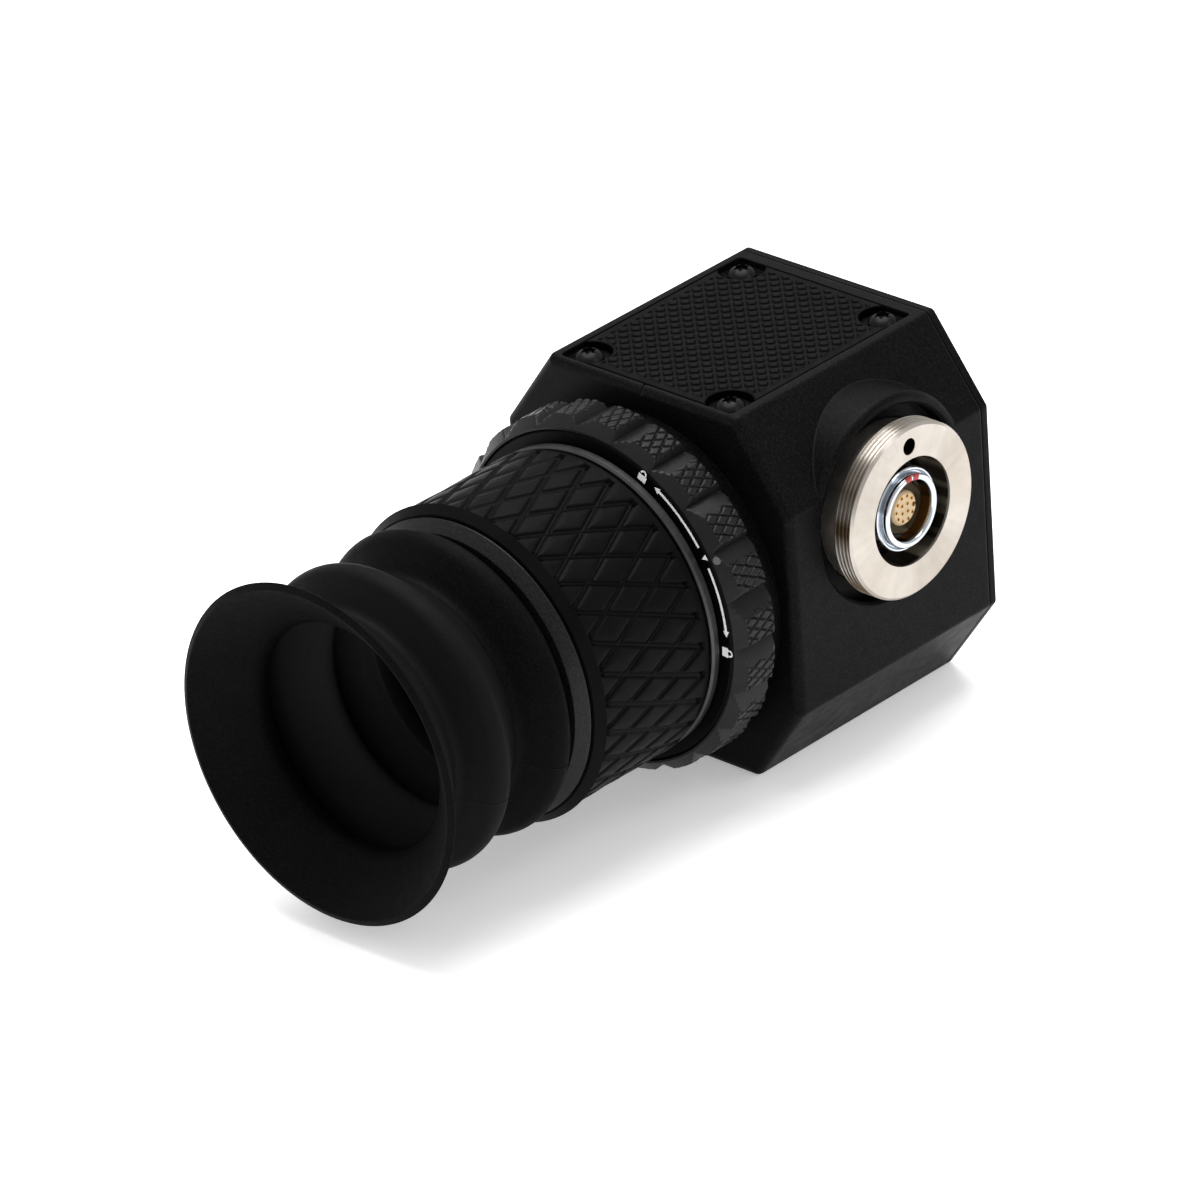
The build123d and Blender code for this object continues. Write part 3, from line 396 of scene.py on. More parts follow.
def makeMaterial(name):
    look = finishes[name]
    base = look["base"]
    tone, toneSize = look["tone"]
    grainDepth, grainSize = look["grain"]
    material = bpy.data.materials.new("look_" + name)
    material.use_nodes = True
    tree = material.node_tree
    shader = tree.nodes["Principled BSDF"]
    place = addNode(tree, "ShaderNodeTexCoord").outputs["Object"]
    grainPlace = lathePlace(tree, place, look["turned"]) if "turned" in look else place
    bump = addNode(tree, "ShaderNodeBump", {"Strength": 1.0, "Distance": grainDepth * mm})
    tree.links.new(noiseOf(tree, grainPlace, grainSize, detail=2.0), bump.inputs["Height"])
    tree.links.new(bump.outputs["Normal"], shader.inputs["Normal"])
    blotches = noiseOf(tree, place, toneSize)
    colour = colourBetween(tree, blotches, shades(base, 1 - tone), shades(base, 1 + tone))
    if "traces" in look:
        colour = boardTraces(tree, place, colour, look["traces"])
    if "stripes" in look:
        colour = sideStripes(tree, place, colour, look["stripes"], shades(base, surface["stripeShade"]))
    if "sectorSheen" in look:
        colour = paintSectorSheen(tree, place, colour, look["sectorSheen"])
    if "threadShade" in look:
        colour = paintThreadShade(tree, place, colour, look["threadShade"])
    for hole in look.get("holes", []):
        colour = paintHoleShade(tree, place, colour, hole)
    # Painted shade in grooves and creases, and painted light inside the eyecup
    if "paintedLightShade" in look:
        strength, shade = look["paintedLightShade"]
        colour = paintLightAndShade(tree, colour, strength, shades(base, shade))
    if "softEdge" in look:
        bevel = addNode(tree, "ShaderNodeBevel", {"Radius": look["softEdge"] * mm},
                        samples=surface["edgeSamples"])
        edge = bevel.outputs["Normal"]
        tree.links.new(edge, bump.inputs["Normal"])
        # Painted highlight along the rounded edges
        colour = paintEdgeHighlights(tree, edge, colour, look["edgeHighlight"], shades(base, surface["highlightShade"]))
    # Painted glints
    if "paintedGlint" in look:
        colour = paintGlints(tree, place, colour, look["paintedGlint"], shades(base, surface["paintedGlintShade"]))
    tree.links.new(colour, shader.inputs["Base Color"])
    wear = noiseOf(tree, place, toneSize * surface["roughSize"], detail=5.0)
    rough = between(tree, wear, *(look["rough"] * change for change in surface["roughRange"]))
    tree.links.new(rough, shader.inputs["Roughness"])
    for key, socket in surface["sockets"].items():
        if key in look:
            shader.inputs[socket].default_value = look[key]
    if "brushed" in look:
        # Shine blurs across the lathe lines: outwards on a face, along the axis on a rim
        tangent = addVector(tree, "ADD", outwards(tree, place), surface["axisLean"])
        tree.links.new(tangent, shader.inputs["Tangent"])
    return material


materials = {name: makeMaterial(name) for name in finishes}
for node in nodes.values():
    slotName = node.data.materials[0].name.split(".")[0]
    node.data.materials.clear()
    node.data.materials.append(materials[slotName])
print("materials made:", len(materials))


# Mesh helpers

def inMm(corners):
    return [np.array(corner) / mm for corner in corners]


def eyePoints(radii, places, degreesRound):
    # Points about the optical axis, from mm and degrees to metres in the frame
    angles = np.radians(degreesRound)
    heights = axisHeight + radii * np.sin(angles)
    return np.stack([radii * np.cos(angles), boxFront - places, heights], axis=-1) * mm


def sideLine(face, middle, rows, angles):
    # Points about an axis along X through middle, in Y and Z. Rows are (depth below the face, radius) in mm.
    y, z = middle
    return [((face - depth) * mm, (y + radius * math.cos(angle)) * mm, (z + radius * math.sin(angle)) * mm)
            for depth, radius in rows for angle in angles]


def addObject(name, data):
    made = bpy.data.objects.new(name, data)
    bpy.context.scene.collection.objects.link(made)
    return made


def meshObject(name, vertices, faces, finish, sharp, paintedLightShades=None, reshape=None):
    # Edges beyond the angle sharp stay sharp, and None leaves the faces flat. reshape changes the new mesh.
    mesh = bpy.data.meshes.new(name)
    mesh.from_pydata(vertices, [], faces)
    if paintedLightShades is not None:
        # How far each point takes the material's painted light and shade
        depth = mesh.attributes.new("paintedLightShade", "FLOAT", "POINT")
        depth.data.foreach_set("value", np.asarray(paintedLightShades, dtype=np.float32).reshape(-1))
    mesh.validate()
    work = bmesh.new()
    work.from_mesh(mesh)
    if reshape is not None:
        reshape(work)
    bmesh.ops.recalc_face_normals(work, faces=work.faces)
    work.to_mesh(mesh)
    work.free()
    if sharp is not None:
        mesh.shade_smooth()
        mesh.set_sharp_from_angle(angle=math.radians(sharp))
    mesh.materials.append(materials[finish])
    return addObject(name, mesh)


def closedGrid(rows, columns):
    # Quads of a grid that closes on itself both ways, as a ring does
    row, column = np.meshgrid(np.arange(rows), np.arange(columns), indexing="ij")
    nextRow = (row + 1) % rows
    nextColumn = (column + 1) % columns
    corners = [row * columns + column, nextRow * columns + column,
               nextRow * columns + nextColumn, row * columns + nextColumn]
    return np.stack(corners, axis=-1).reshape(-1, 4).tolist()


def ringObject(name, radii, places, degreesRound, finish, sharp, paintedLightShades):
    # radii and places are rows x columns in mm, degreesRound one angle for each column
    rows, columns = radii.shape
    points = eyePoints(radii, places, np.broadcast_to(degreesRound, radii.shape)).reshape(-1, 3).tolist()
    return meshObject(name, points, closedGrid(rows, columns), finish, sharp, paintedLightShades)


def smoothStep(value, low, high):
    part = np.clip((value - low) / (high - low), 0, 1)
    return part * part * (3 - 2 * part)


def stepAt(value, middle, half):
    # From 0 to 1 round middle
    return smoothStep(value, middle - half, middle + half)


def lineDistance(value):
    # Distance to the nearest whole number
    return np.abs(value - np.round(value))


def stackRows(rows, columns):
    # Each row is (radius, place), either of them a number or one value for each column
    radii = np.stack([np.broadcast_to(np.asarray(radius, float), columns) for radius, _ in rows])
    places = np.stack([np.broadcast_to(np.asarray(place, float), columns) for _, place in rows])
    return radii, places


def wrapped(angles, middle):
    # Angle from middle, from -180 to 180 degrees
    return (angles - middle + 180) % 360 - 180


# Grip plate on top

gripPlate = {
    "studSpacing": 1.84,     # between neighbouring studs, which stand cornerwise to the box, mm
    "studHalf": 0.58,
    "studRound": 0.26,
    "studHeight": 0.25,
    "wallWidth": 0.18,
    "studShift": 2 / 16,     # share of a spacing that the rows lie off the plate's middle
    "gridSteps": 16,         # grid steps along X or Y for one stud
    "sideMargin": 1.15, "cornerMargin": 0.4, "marginFade": 0.1,
    "cornerInset": 2.65,
    "cornerRadius": 3.4,
    "rimFall": 0.08, "rimWidth": 0.18,
    # Painted shade: darkest at the foot of the studs' walls and along the plate's edge, a little dark on the
    # floor between
    "footPlace": 0.06, "footFade": (0.05, 0.17),
    "edgeFade": (0.10, 0.26),
    "floorShade": 0.15,
    "level": 0.001,          # heights nearer than this are the same
    "sharpDegrees": 60,
}


def studShares(x, y, halfWidth, halfLength):
    # 0 on the plate's floor and 1 on top of a stud, then how far the rim falls, and how much painted shade
    # it takes
    g = gripPlate
    along = (x + y) / math.sqrt(2) / g["studSpacing"] + 0.5
    across = (x - y) / math.sqrt(2) / g["studSpacing"] + g["studShift"]
    core = g["studHalf"] - g["studRound"]
    outsideAlong = np.maximum(lineDistance(along) * g["studSpacing"] - core, 0)
    outsideAcross = np.maximum(lineDistance(across) * g["studSpacing"] - core, 0)
    fromStud = np.hypot(outsideAlong, outsideAcross) - g["studRound"]
    fromSide = np.minimum(halfWidth - np.abs(x), halfLength - np.abs(y))
    cornerX = halfWidth - g["cornerInset"] - np.abs(x)
    cornerY = halfLength - g["cornerInset"] - np.abs(y)
    fromCorner = np.hypot(cornerX, cornerY) - g["cornerRadius"]
    share = 1 - stepAt(fromStud, 0, g["wallWidth"] / 2)
    share = share * stepAt(fromSide, g["sideMargin"], g["marginFade"])
    share = share * stepAt(fromCorner, g["cornerMargin"], g["marginFade"])
    fromRim = np.minimum(fromSide, np.maximum(fromCorner, 0))
    rim = g["rimFall"] * (1 - smoothStep(fromRim, 0.0, g["rimWidth"]))
    studded = (fromSide > g["sideMargin"]) & (fromCorner > g["cornerMargin"])
    foot = studded * (1 - smoothStep(np.abs(fromStud - g["footPlace"]), *g["footFade"]))
    edge = 1 - smoothStep(np.minimum(fromSide, np.abs(fromCorner)), *g["edgeFade"])
    return share, rim, np.maximum.reduce([foot, edge, g["floorShade"] * (1 - share)])


def plateCells(used, index, heights):
    # Flat cells stay whole. The others are cut along the diagonal with level ends, so that walls run true.
    cell = used[:-1, :-1] & used[1:, :-1] & used[1:, 1:] & used[:-1, 1:]
    a, b, c, d = (grid[cell] for grid in (index[:-1, :-1], index[1:, :-1], index[1:, 1:], index[:-1, 1:]))
    tall = [grid[cell] for grid in (heights[:-1, :-1], heights[1:, :-1], heights[1:, 1:], heights[:-1, 1:])]
    flat = np.maximum.reduce(tall) - np.minimum.reduce(tall) < gripPlate["level"]
    first = ~flat & (np.abs(tall[0] - tall[2]) <= np.abs(tall[1] - tall[3]))
    second = ~flat & ~first
    faces = []
    for corners, chosen in (((a, b, c, d), flat), ((a, b, c), first), ((a, c, d), first),
                            ((a, b, d), second), ((b, c, d), second)):
        faces += np.stack(corners, axis=-1)[chosen].tolist()
    return faces


def closePlate(work, bottom):
    # Walls go down from the plate's border to a flat underside
    loose = [vertex for vertex in work.verts if not vertex.link_faces]
    bmesh.ops.delete(work, geom=loose, context="VERTS")
    border = [edge for edge in work.edges if edge.is_boundary]
    walls = bmesh.ops.extrude_edge_only(work, edges=border)
    for item in walls["geom"]:
        if isinstance(item, bmesh.types.BMVert):
            item.co.z = bottom
    lower = [edge for edge in work.edges if edge.is_boundary]
    bmesh.ops.contextual_create(work, geom=lower)


def buildGripPlate():
    g = gripPlate
    low, high = inMm(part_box("top_grip_plate"))
    middle = (low + high) / 2
    half = (high - low) / 2
    step = g["studSpacing"] * math.sqrt(2) / g["gridSteps"]
    sides = []
    for size in half[:2]:
        count = int(size / step)
        sides.append(np.clip(np.arange(-count - 1, count + 2) * step, -size, size))
    x, y = np.meshgrid(*sides, indexing="ij")
    cornerX, cornerY = half[:2] - g["cornerInset"]
    toX = np.abs(x) - cornerX
    toY = np.abs(y) - cornerY
    distance = np.hypot(toX, toY)
    gone = (distance < g["cornerRadius"]) | ((toX > 0) & (toY > 0))
    # Grid points just inside a cut corner move onto its arc
    padded = np.pad(~gone, 1)
    rows, columns = gone.shape
    beside = np.logical_or.reduce([padded[i:i + rows, j:j + columns] for i in range(3) for j in range(3)])
    moved = gone & beside & (distance < g["cornerRadius"]) & (distance > 0)
    reach = np.divide(g["cornerRadius"], distance, out=np.ones_like(distance), where=moved)
    x = np.clip(np.where(moved, np.sign(x) * (cornerX + toX * reach), x), -half[0], half[0])
    y = np.clip(np.where(moved, np.sign(y) * (cornerY + toY * reach), y), -half[1], half[1])
    share, rim, paintedLightShade = studShares(x, y, half[0], half[1])
    heights = high[2] + g["studHeight"] * share - rim
    used = ~gone | moved
    index = np.cumsum(used.reshape(-1)).reshape(used.shape) - 1
    points = np.stack([x + middle[0], y + middle[1], heights], axis=-1)[used] * mm
    plate = meshObject("gripPlate", points.tolist(), plateCells(used, index, heights), "grip_black",
                       g["sharpDegrees"], paintedLightShade[used], lambda work: closePlate(work, low[2] * mm))
    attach(plate, "viewfinder_body")
    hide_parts("top_grip_plate")


buildGripPlate()
print("grip plate built")


# Lock ring

lockRing = {
    "back": 3.9, "front": 11.2,
    "radius": 26.895,
    "backChamfer": 0.5,
    "coneStart": 9.8, "coneRows": (10.15, 10.5, 10.85),
    "frontRadius": 25.3,
    "counterbore": 25.0,
    "shoulder": 9.6,
    "bore": 21.65,
    "leastWall": 0.02,
    "notches": 22,
    "indexDegrees": 28.5,
    "notchHalf": 4.0,        # degrees
    "steepDegrees": 1.7,
    "notchDepth": 1.25,
    "creaseShade": 0.45,
    "knurlDegrees": 3.4,     # one diamond round the ring
    "knurlLength": 3.06,     # one diamond along the axis, mm
    "knurlDepth": 0.26,
    "knurlFade": (0.02, 0.17),   # shares of a diamond, from the bottom of a groove to its edge
    "padStart": 4.15, "padStop": 9.75, "padFade": 0.1,
    "columnsPerNotch": 64,
    "rowStep": 0.14, "lastGap": 0.05,
    "sharpDegrees": 30,
    # The three ramps for the lock pins, inside the bore
    "pinDegrees": (90.0, 210.0, 330.0),
    "pinPlace": 6.4,
    "rampHalfWidth": 1.4,
    "rampReach": 28.2,
    "rampRadius": 22.45,
    "rampRise": 0.5 / 24.0,  # mm for each degree
    "rampLean": 0.01,
}


def notchFloor(angles):
    # Radius of the notches' floor at each angle, above the ring where there is no notch
    r = lockRing
    pitch = 360.0 / r["notches"]
    turn = (angles - r["indexDegrees"] + pitch / 2) % pitch - pitch / 2
    crease = r["notchHalf"] - r["steepDegrees"]
    bottom = r["radius"] - r["notchDepth"]
    gentle = bottom + r["notchDepth"] * (crease - turn) / (crease + r["notchHalf"])
    steep = bottom + r["notchDepth"] * (turn - crease) / r["steepDegrees"]
    return np.where(turn < crease, gentle, steep)


def knurlCuts(angles, place):
    # 1 at the bottom of a knurling groove and 0 on top of a diamond
    r = lockRing
    pitch = 360.0 / r["notches"]
    around = (angles - r["indexDegrees"] - pitch / 2) / r["knurlDegrees"]
    along = (place - r["padStart"]) / r["knurlLength"]
    groove = np.minimum(lineDistance(around + along), lineDistance(around - along))
    pad = stepAt(place, r["padStart"], r["padFade"]) * (1 - stepAt(place, r["padStop"], r["padFade"]))
    return pad * (1 - smoothStep(groove, *r["knurlFade"]))


def lockRadius(angles, place):
    # Outer surface of the lock ring
    r = lockRing
    full = np.full_like(angles, r["radius"], dtype=float)
    if place < r["back"] + r["backChamfer"]:
        full = full - (r["back"] + r["backChamfer"] - place)
    if place > r["coneStart"]:
        fall = (place - r["coneStart"]) / (r["front"] - r["coneStart"])
        full = full - fall * (r["radius"] - r["frontRadius"])
    full = full - r["knurlDepth"] * knurlCuts(angles, place)
    return np.minimum(full, notchFloor(angles))


def lockGrooveShade(angles, place):
    # Painted shade in the grooves of the knurling outside the notches, and in the crease of each notch
    r = lockRing
    depth = r["radius"] - notchFloor(angles)
    onPad = 1 - smoothStep(depth, r["knurlDepth"], r["knurlDepth"] + r["padFade"])
    crease = r["creaseShade"] * np.clip(depth / r["notchDepth"], 0, 1) ** 2
    return np.maximum(knurlCuts(angles, place) * onPad, crease)


def rampRadii(angles):
    r = lockRing
    radius = np.full_like(angles, r["bore"], dtype=float)
    for middle in r["pinDegrees"]:
        turn = wrapped(angles, middle)
        ramp = r["rampRadius"] - r["rampRise"] * turn
        radius = np.where(np.abs(turn) < r["rampReach"], np.maximum(ramp, r["bore"]), radius)
    return radius


def buildLockRing():
    r = lockRing
    columns = r["notches"] * r["columnsPerNotch"]
    angles = np.arange(columns) * 360.0 / columns + r["indexDegrees"]
    chamferStop = r["back"] + r["backChamfer"]
    straight = np.arange(chamferStop + r["rowStep"], r["coneStart"] - r["lastGap"], r["rowStep"])
    outer = [r["back"], chamferStop, *straight, r["coneStart"], *r["coneRows"], r["front"]]
    rows = [(lockRadius(angles, place), place) for place in outer]
    bore = rampRadii(angles)
    low = r["pinPlace"] - r["rampHalfWidth"]
    high = r["pinPlace"] + r["rampHalfWidth"]
    counterbore = np.minimum(r["counterbore"], notchFloor(angles) - r["leastWall"])
    mouth = np.minimum(counterbore, lockRadius(angles, r["front"]) - r["leastWall"])
    rows += [(mouth, r["front"]), (counterbore, r["shoulder"]), (r["bore"], r["shoulder"]),
             (r["bore"], high + r["rampLean"]), (bore, high), (bore, low),
             (r["bore"], low - r["rampLean"]), (r["bore"], r["back"])]
    radii, places = stackRows(rows, columns)
    paintedLightShades = np.zeros_like(radii)
    paintedLightShades[:len(outer)] = [lockGrooveShade(angles, place) for place in outer]
    ring = ringObject("lockRing", radii, places, angles, "ring_black", r["sharpDegrees"], paintedLightShades)
    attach(ring, "lock_ring")
    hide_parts("lock_ring")


buildLockRing()
print("lock ring built")


# Index dot on the lock ring

indexDot = {
    "degrees": 28.5,
    "place": 10.75,
    "halfAlong": 0.36,
    "halfRound": 1.3,        # degrees
    "lift": 0.02, "sink": 0.05,
    "rings": 7,
    "spokes": 36,
    "joinDistance": 1e-7,    # points nearer than this become one, metres
}


def buildIndexDot():
    d = indexDot
    rings = d["rings"]
    spokes = d["spokes"]
    points = []
    for lift in (d["lift"], -d["sink"]):
        for ring in range(rings):
            for spoke in range(spokes):
                turn = 2 * math.pi * spoke / spokes
                share = ring / (rings - 1)
                place = d["place"] + share * d["halfAlong"] * math.sin(turn)
                angle = d["degrees"] + share * d["halfRound"] * math.cos(turn)
                radius = float(lockRadius(np.array([angle]), place)[0]) + lift
                points.append(eyePoints(np.array(radius), np.array(place), np.array(angle)).tolist())
    size = rings * spokes
    last = size - spokes
    faces = []
    for spoke in range(spokes):
        after = (spoke + 1) % spokes
        for start in range(0, last, spokes):
            a, b = start + spoke, start + after
            c, e = b + spokes, a + spokes
            faces.append((a, b, c, e))
            faces.append((a + size, e + size, c + size, b + size))
        faces.append((last + spoke, last + after, last + after + size, last + spoke + size))
    dot = meshObject("indexDot", points, faces, "mark_grey", None, None,
                     lambda work: bmesh.ops.remove_doubles(work, verts=work.verts, dist=d["joinDistance"]))
    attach(dot, "lock_ring")


buildIndexDot()


# Marks printed on the fixed ring

printMarks = {
    "face": 11.2,            # place of the ring's front face, mm
    "thickness": 0.03, "sink": 0.02,
    "middleRadius": 24.1,
    "lineWidth": 0.40,
    "arcSteps": 40,
    "unlockArc": (34.5, 57.2), "unlockTip": 59.4,
    "lockArc": (27.0, 4.6), "lockTip": 2.4,
    "headHalf": 0.55,
    "pointerDegrees": 30.6,
    "pointer": [(-0.42, 0.55), (0.42, 0.55), (0, -0.45)],
    "sharpDegrees": 20,
    # The padlock signs: a body below a bow, whose right leg ends lower on the closed one
    "lockScale": 1.2,
    "lockBody": [(-0.62, -0.78), (0.62, -0.78), (0.62, 0.10), (-0.62, 0.10)],
    "bowRadii": (0.45, 0.26), "bowMiddle": 0.34, "bowFoot": 0.06, "bowSteps": 12,
    "openLock": (65.0, 0.32), "closedLock": (-3.4, 0.08),   # degrees, and the end of the right leg
}


def printedPatch(outline, degreesAt):
    # outline is (along, out) in mm on the ring's face; it becomes a thin raised patch
    p = printMarks
    along, out = np.array(outline).T
    angles = degreesAt + np.degrees(along / p["middleRadius"])
    radii = p["middleRadius"] + out
    count = len(outline)
    top = eyePoints(radii, np.full(count, p["face"] + p["thickness"]), angles)
    bottom = eyePoints(radii, np.full(count, p["face"] - p["sink"]), angles)
    faces = [tuple(range(count)), tuple(range(2 * count - 1, count - 1, -1))]
    for step in range(count):
        after = (step + 1) % count
        faces.append((step, step + count, after + count, after))
    return np.concatenate([top, bottom]).tolist(), faces


def arcLength(startDegrees, stopDegrees):
    return math.radians(stopDegrees - startDegrees) * printMarks["middleRadius"]


def arcOutline(startDegrees, stopDegrees):
    p = printMarks
    lengths = np.linspace(0, arcLength(startDegrees, stopDegrees), p["arcSteps"])
    half = p["lineWidth"] / 2
    return [(length, -half) for length in lengths] + [(length, half) for length in lengths[::-1]]


def headOutline(startDegrees, stopDegrees):
    half = printMarks["headHalf"]
    return [(0, -half), (0, half), (arcLength(startDegrees, stopDegrees), 0)]


def padlockOutlines(legEnd):
    p = printMarks
    turns = np.linspace(0, math.pi, p["bowSteps"])
    outside, inside = p["bowRadii"]
    outer = [(outside * math.cos(turn), p["bowMiddle"] + outside * math.sin(turn)) for turn in turns]
    inner = [(inside * math.cos(turn), p["bowMiddle"] + inside * math.sin(turn)) for turn in turns[::-1]]
    bow = [(outside, legEnd), *outer, (-outside, p["bowFoot"]), (-inside, p["bowFoot"]), *inner,
           (inside, legEnd)]
    return [[(p["lockScale"] * along, p["lockScale"] * out) for along, out in outline]
            for outline in (p["lockBody"], bow)]


def buildPrintMarks():
    p = printMarks
    patches = []
    for name in ("unlock", "lock"):
        start, stop = p[name + "Arc"]
        patches.append(printedPatch(arcOutline(start, stop), start))
        patches.append(printedPatch(headOutline(stop, p[name + "Tip"]), stop))
    patches.append(printedPatch(p["pointer"], p["pointerDegrees"]))
    for degreesAt, legEnd in (p["openLock"], p["closedLock"]):
        patches += [printedPatch(outline, degreesAt) for outline in padlockOutlines(legEnd)]
    points = []
    faces = []
    for patchPoints, patchFaces in patches:
        first = len(points)
        points += patchPoints
        faces += [tuple(first + corner for corner in face) for face in patchFaces]
    marks = meshObject("printMarks", points, faces, "mark_white", p["sharpDegrees"])
    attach(marks, "viewfinder_body")


buildPrintMarks()
print("marks built")


# Focus barrel

focusBarrel = {
    "back": 13.4, "front": 36.9,
    "bore": 20.65,
    "rimRadius": 22.9, "rimChamfer": 0.3,
    "rimStop": 14.9, "rimLean": 0.02,
    "radius": 23.4,
    "lipStart": 35.3,
    "lipBack": 35.6,
    "lipRadius": 23.8,
    "lipFront": 22.7,
    "fadeIn": (14.9, 15.15), "fadeOut": (34.95, 35.2),   # places where the diamonds start and stop
    "diamonds": 32,
    "diamondLength": 10.2,   # mm
    "crossDegrees": 76.0,
    "crossPlace": 20.35,
    "grooveHalf": 0.46,      # mm across the groove
    "grooveWall": 0.36,
    "grooveDepth": 0.27,
    "middleLine": 0.45, "lineFade": (0.04, 0.20),   # share of the depth that a groove's middle line rises
    # How much deeper the grooves run out at the rims
    "endPit": 0.9, "pitPlaces": (15.25, 34.85), "pitWidth": 0.7,
    "pillow": 0.07, "pillowWidth": 1.1,
    # Painted shade at the foot of a groove's walls, paler on its middle line
    "footFade": (0.36, 0.64), "paleLine": 0.55, "paleFade": (0.06, 0.22),
    "columnsPerDiamond": 28,
    "rowStep": 0.17,
    "sharpDegrees": 40,
    # Screw-shaped grooves for the three guide pins, inside the bore
    "pinDegrees": (30.0, 150.0, 270.0),
    "pinPlace": 25.15,
    "pinLead": 2.5 / 60.0,   # mm along for each degree
    "pinHalfWidth": 1.2,
    "pinReach": 66.0,
    "pinFloor": 21.9,
    "boreReach": 4.5, "boreRows": 37,
}


def barrelGroove(angles, place):
    # How far each point lies from the middle of the nearest groove, mm
    b = focusBarrel
    around = (angles - b["crossDegrees"]) * b["diamonds"] / 360.0
    along = (place - b["crossPlace"]) / b["diamondLength"]
    girth = 2 * math.pi * b["radius"] / b["diamonds"]
    slope = math.hypot(1 / girth, 1 / b["diamondLength"])
    return np.minimum(lineDistance(around + along), lineDistance(around - along)) / slope


def barrelEnds(place):
    # 1 between the barrel's rims, where the diamonds are
    return smoothStep(place, *focusBarrel["fadeIn"]) * (1 - smoothStep(place, *focusBarrel["fadeOut"]))


def barrelRadii(angles, place):
    b = focusBarrel
    groove = barrelGroove(angles, place)
    cut = 1 - stepAt(groove, b["grooveHalf"], b["grooveWall"] / 2)
    cut = cut - b["middleLine"] * (1 - smoothStep(groove, *b["lineFade"]))
    toPit = min(abs(place - pit) for pit in b["pitPlaces"])
    cut = cut * (1 + b["endPit"] * (1 - smoothStep(toPit, 0.0, b["pitWidth"])))
    crown = b["pillow"] * (1 - smoothStep(groove, b["grooveHalf"], b["grooveHalf"] + b["pillowWidth"]))
    return b["radius"] - barrelEnds(place) * (b["grooveDepth"] * cut + crown)


def barrelGrooveShade(angles, place):
    # Painted shade in the grooves
    b = focusBarrel
    groove = barrelGroove(angles, place)
    foot = 1 - smoothStep(groove, *b["footFade"])
    return barrelEnds(place) * foot * (1 - b["paleLine"] * (1 - smoothStep(groove, *b["paleFade"])))


def barrelBore(angles, place):
    b = focusBarrel
    radius = np.full_like(angles, b["bore"], dtype=float)
    for middle in b["pinDegrees"]:
        turn = wrapped(angles, middle)
        offset = np.abs(place - b["pinPlace"] + turn * b["pinLead"])
        inside = (offset < b["pinHalfWidth"]) & (np.abs(turn) < b["pinReach"])
        radius = np.where(inside, b["pinFloor"], radius)
    return radius


def buildFocusBarrel():
    b = focusBarrel
    columns = b["diamonds"] * b["columnsPerDiamond"]
    angles = np.arange(columns) * 360.0 / columns
    rows = [(b["rimRadius"] - b["rimChamfer"], b["back"]), (b["rimRadius"], b["back"] + b["rimChamfer"]),
            (b["rimRadius"], b["rimStop"] - b["rimLean"])]
    firstGrooved = len(rows)
    grooved = np.arange(b["rimStop"], b["lipStart"], b["rowStep"])
    rows += [(barrelRadii(angles, place), place) for place in grooved]
    rows += [(b["radius"], b["lipStart"]), (b["lipRadius"], b["lipBack"]), (b["lipFront"], b["front"]),
             (b["bore"], b["front"])]
    bore = np.linspace(b["pinPlace"] + b["boreReach"], b["pinPlace"] - b["boreReach"], b["boreRows"])
    rows += [(barrelBore(angles, place), place) for place in bore]
    rows += [(b["bore"], b["back"])]
    radii, places = stackRows(rows, columns)
    paintedLightShades = np.zeros_like(radii)
    paintedLightShades[firstGrooved:firstGrooved + len(grooved)] = [barrelGrooveShade(angles, place) for place in grooved]
    barrel = ringObject("focusBarrel", radii, places, angles, "barrel_black", b["sharpDegrees"], paintedLightShades)
    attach(barrel, "focus_barrel")
    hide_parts("focus_barrel")


buildFocusBarrel()
print("focus barrel built")


# Eyecup

eyeCup = {
    "wall": 1.5,
    "columns": 300,
    "cornerSteps": 9,
    "cornerMost": 0.48,      # the most of a side that one corner's rounding takes
    "sharpDegrees": 40,
    "partingDegrees": -15.5,
    "partingHeight": 0.05,
    "partingHalf": 0.16,     # degrees
    "partingSteps": (-1, -0.4, 0, 0.4, 1),
    # Painted light on the rubber: inside, from the throat inwards, and outside, on the fold beyond the
    # middle
    "paintedLitStart": 60.5, "paintedLitLength": 14.0, "outerPaintedLit": 0.16, "foldMiddle": 48.0,
    # Outer folds: radius, place and how far from the corner its rounding starts, all mm
    "foot": [(17.0, 35.6, 0.2), (18.5, 35.6, 0.2), (18.5, 38.9, 0.35)],
    "folds": [(19.9, 39.3, 0.6), (23.0, 42.0, 1.0), (22.25, 43.9, 0.9), (17.3, 47.4, 2.1),
              (22.75, 53.9, 1.0), (22.4, 56.0, 0.95)],
    "flare": [(17.6, 59.6, 1.8), (21.6, 63.95, 1.5), (25.4, 67.65, 0.22)],
    "mouth": [(24.3, 68.2, 0.22), (20.4, 64.95, 1.5), (16.8, 61.7, 1.9), (16.8, 59.6, 1.0)],
    "neck": [(17.0, 38.9, 0.35)],
}


def roundedLine(corners):
    # Closed line through the corners, each of them rounded by a short curve
    steps = eyeCup["cornerSteps"]
    most = eyeCup["cornerMost"]
    line = []
    for place, (x, y, cut) in enumerate(corners):
        corner = Vector((x, y))
        before = Vector(corners[place - 1][:2]) - corner
        after = Vector(corners[(place + 1) % len(corners)][:2]) - corner
        start = corner + before.normalized() * min(cut, before.length * most)
        stop = corner + after.normalized() * min(cut, after.length * most)
        for step in range(steps + 1):
            share = step / steps
            line.append(start * (1 - share) ** 2 + corner * 2 * share * (1 - share) + stop * share ** 2)
    return line


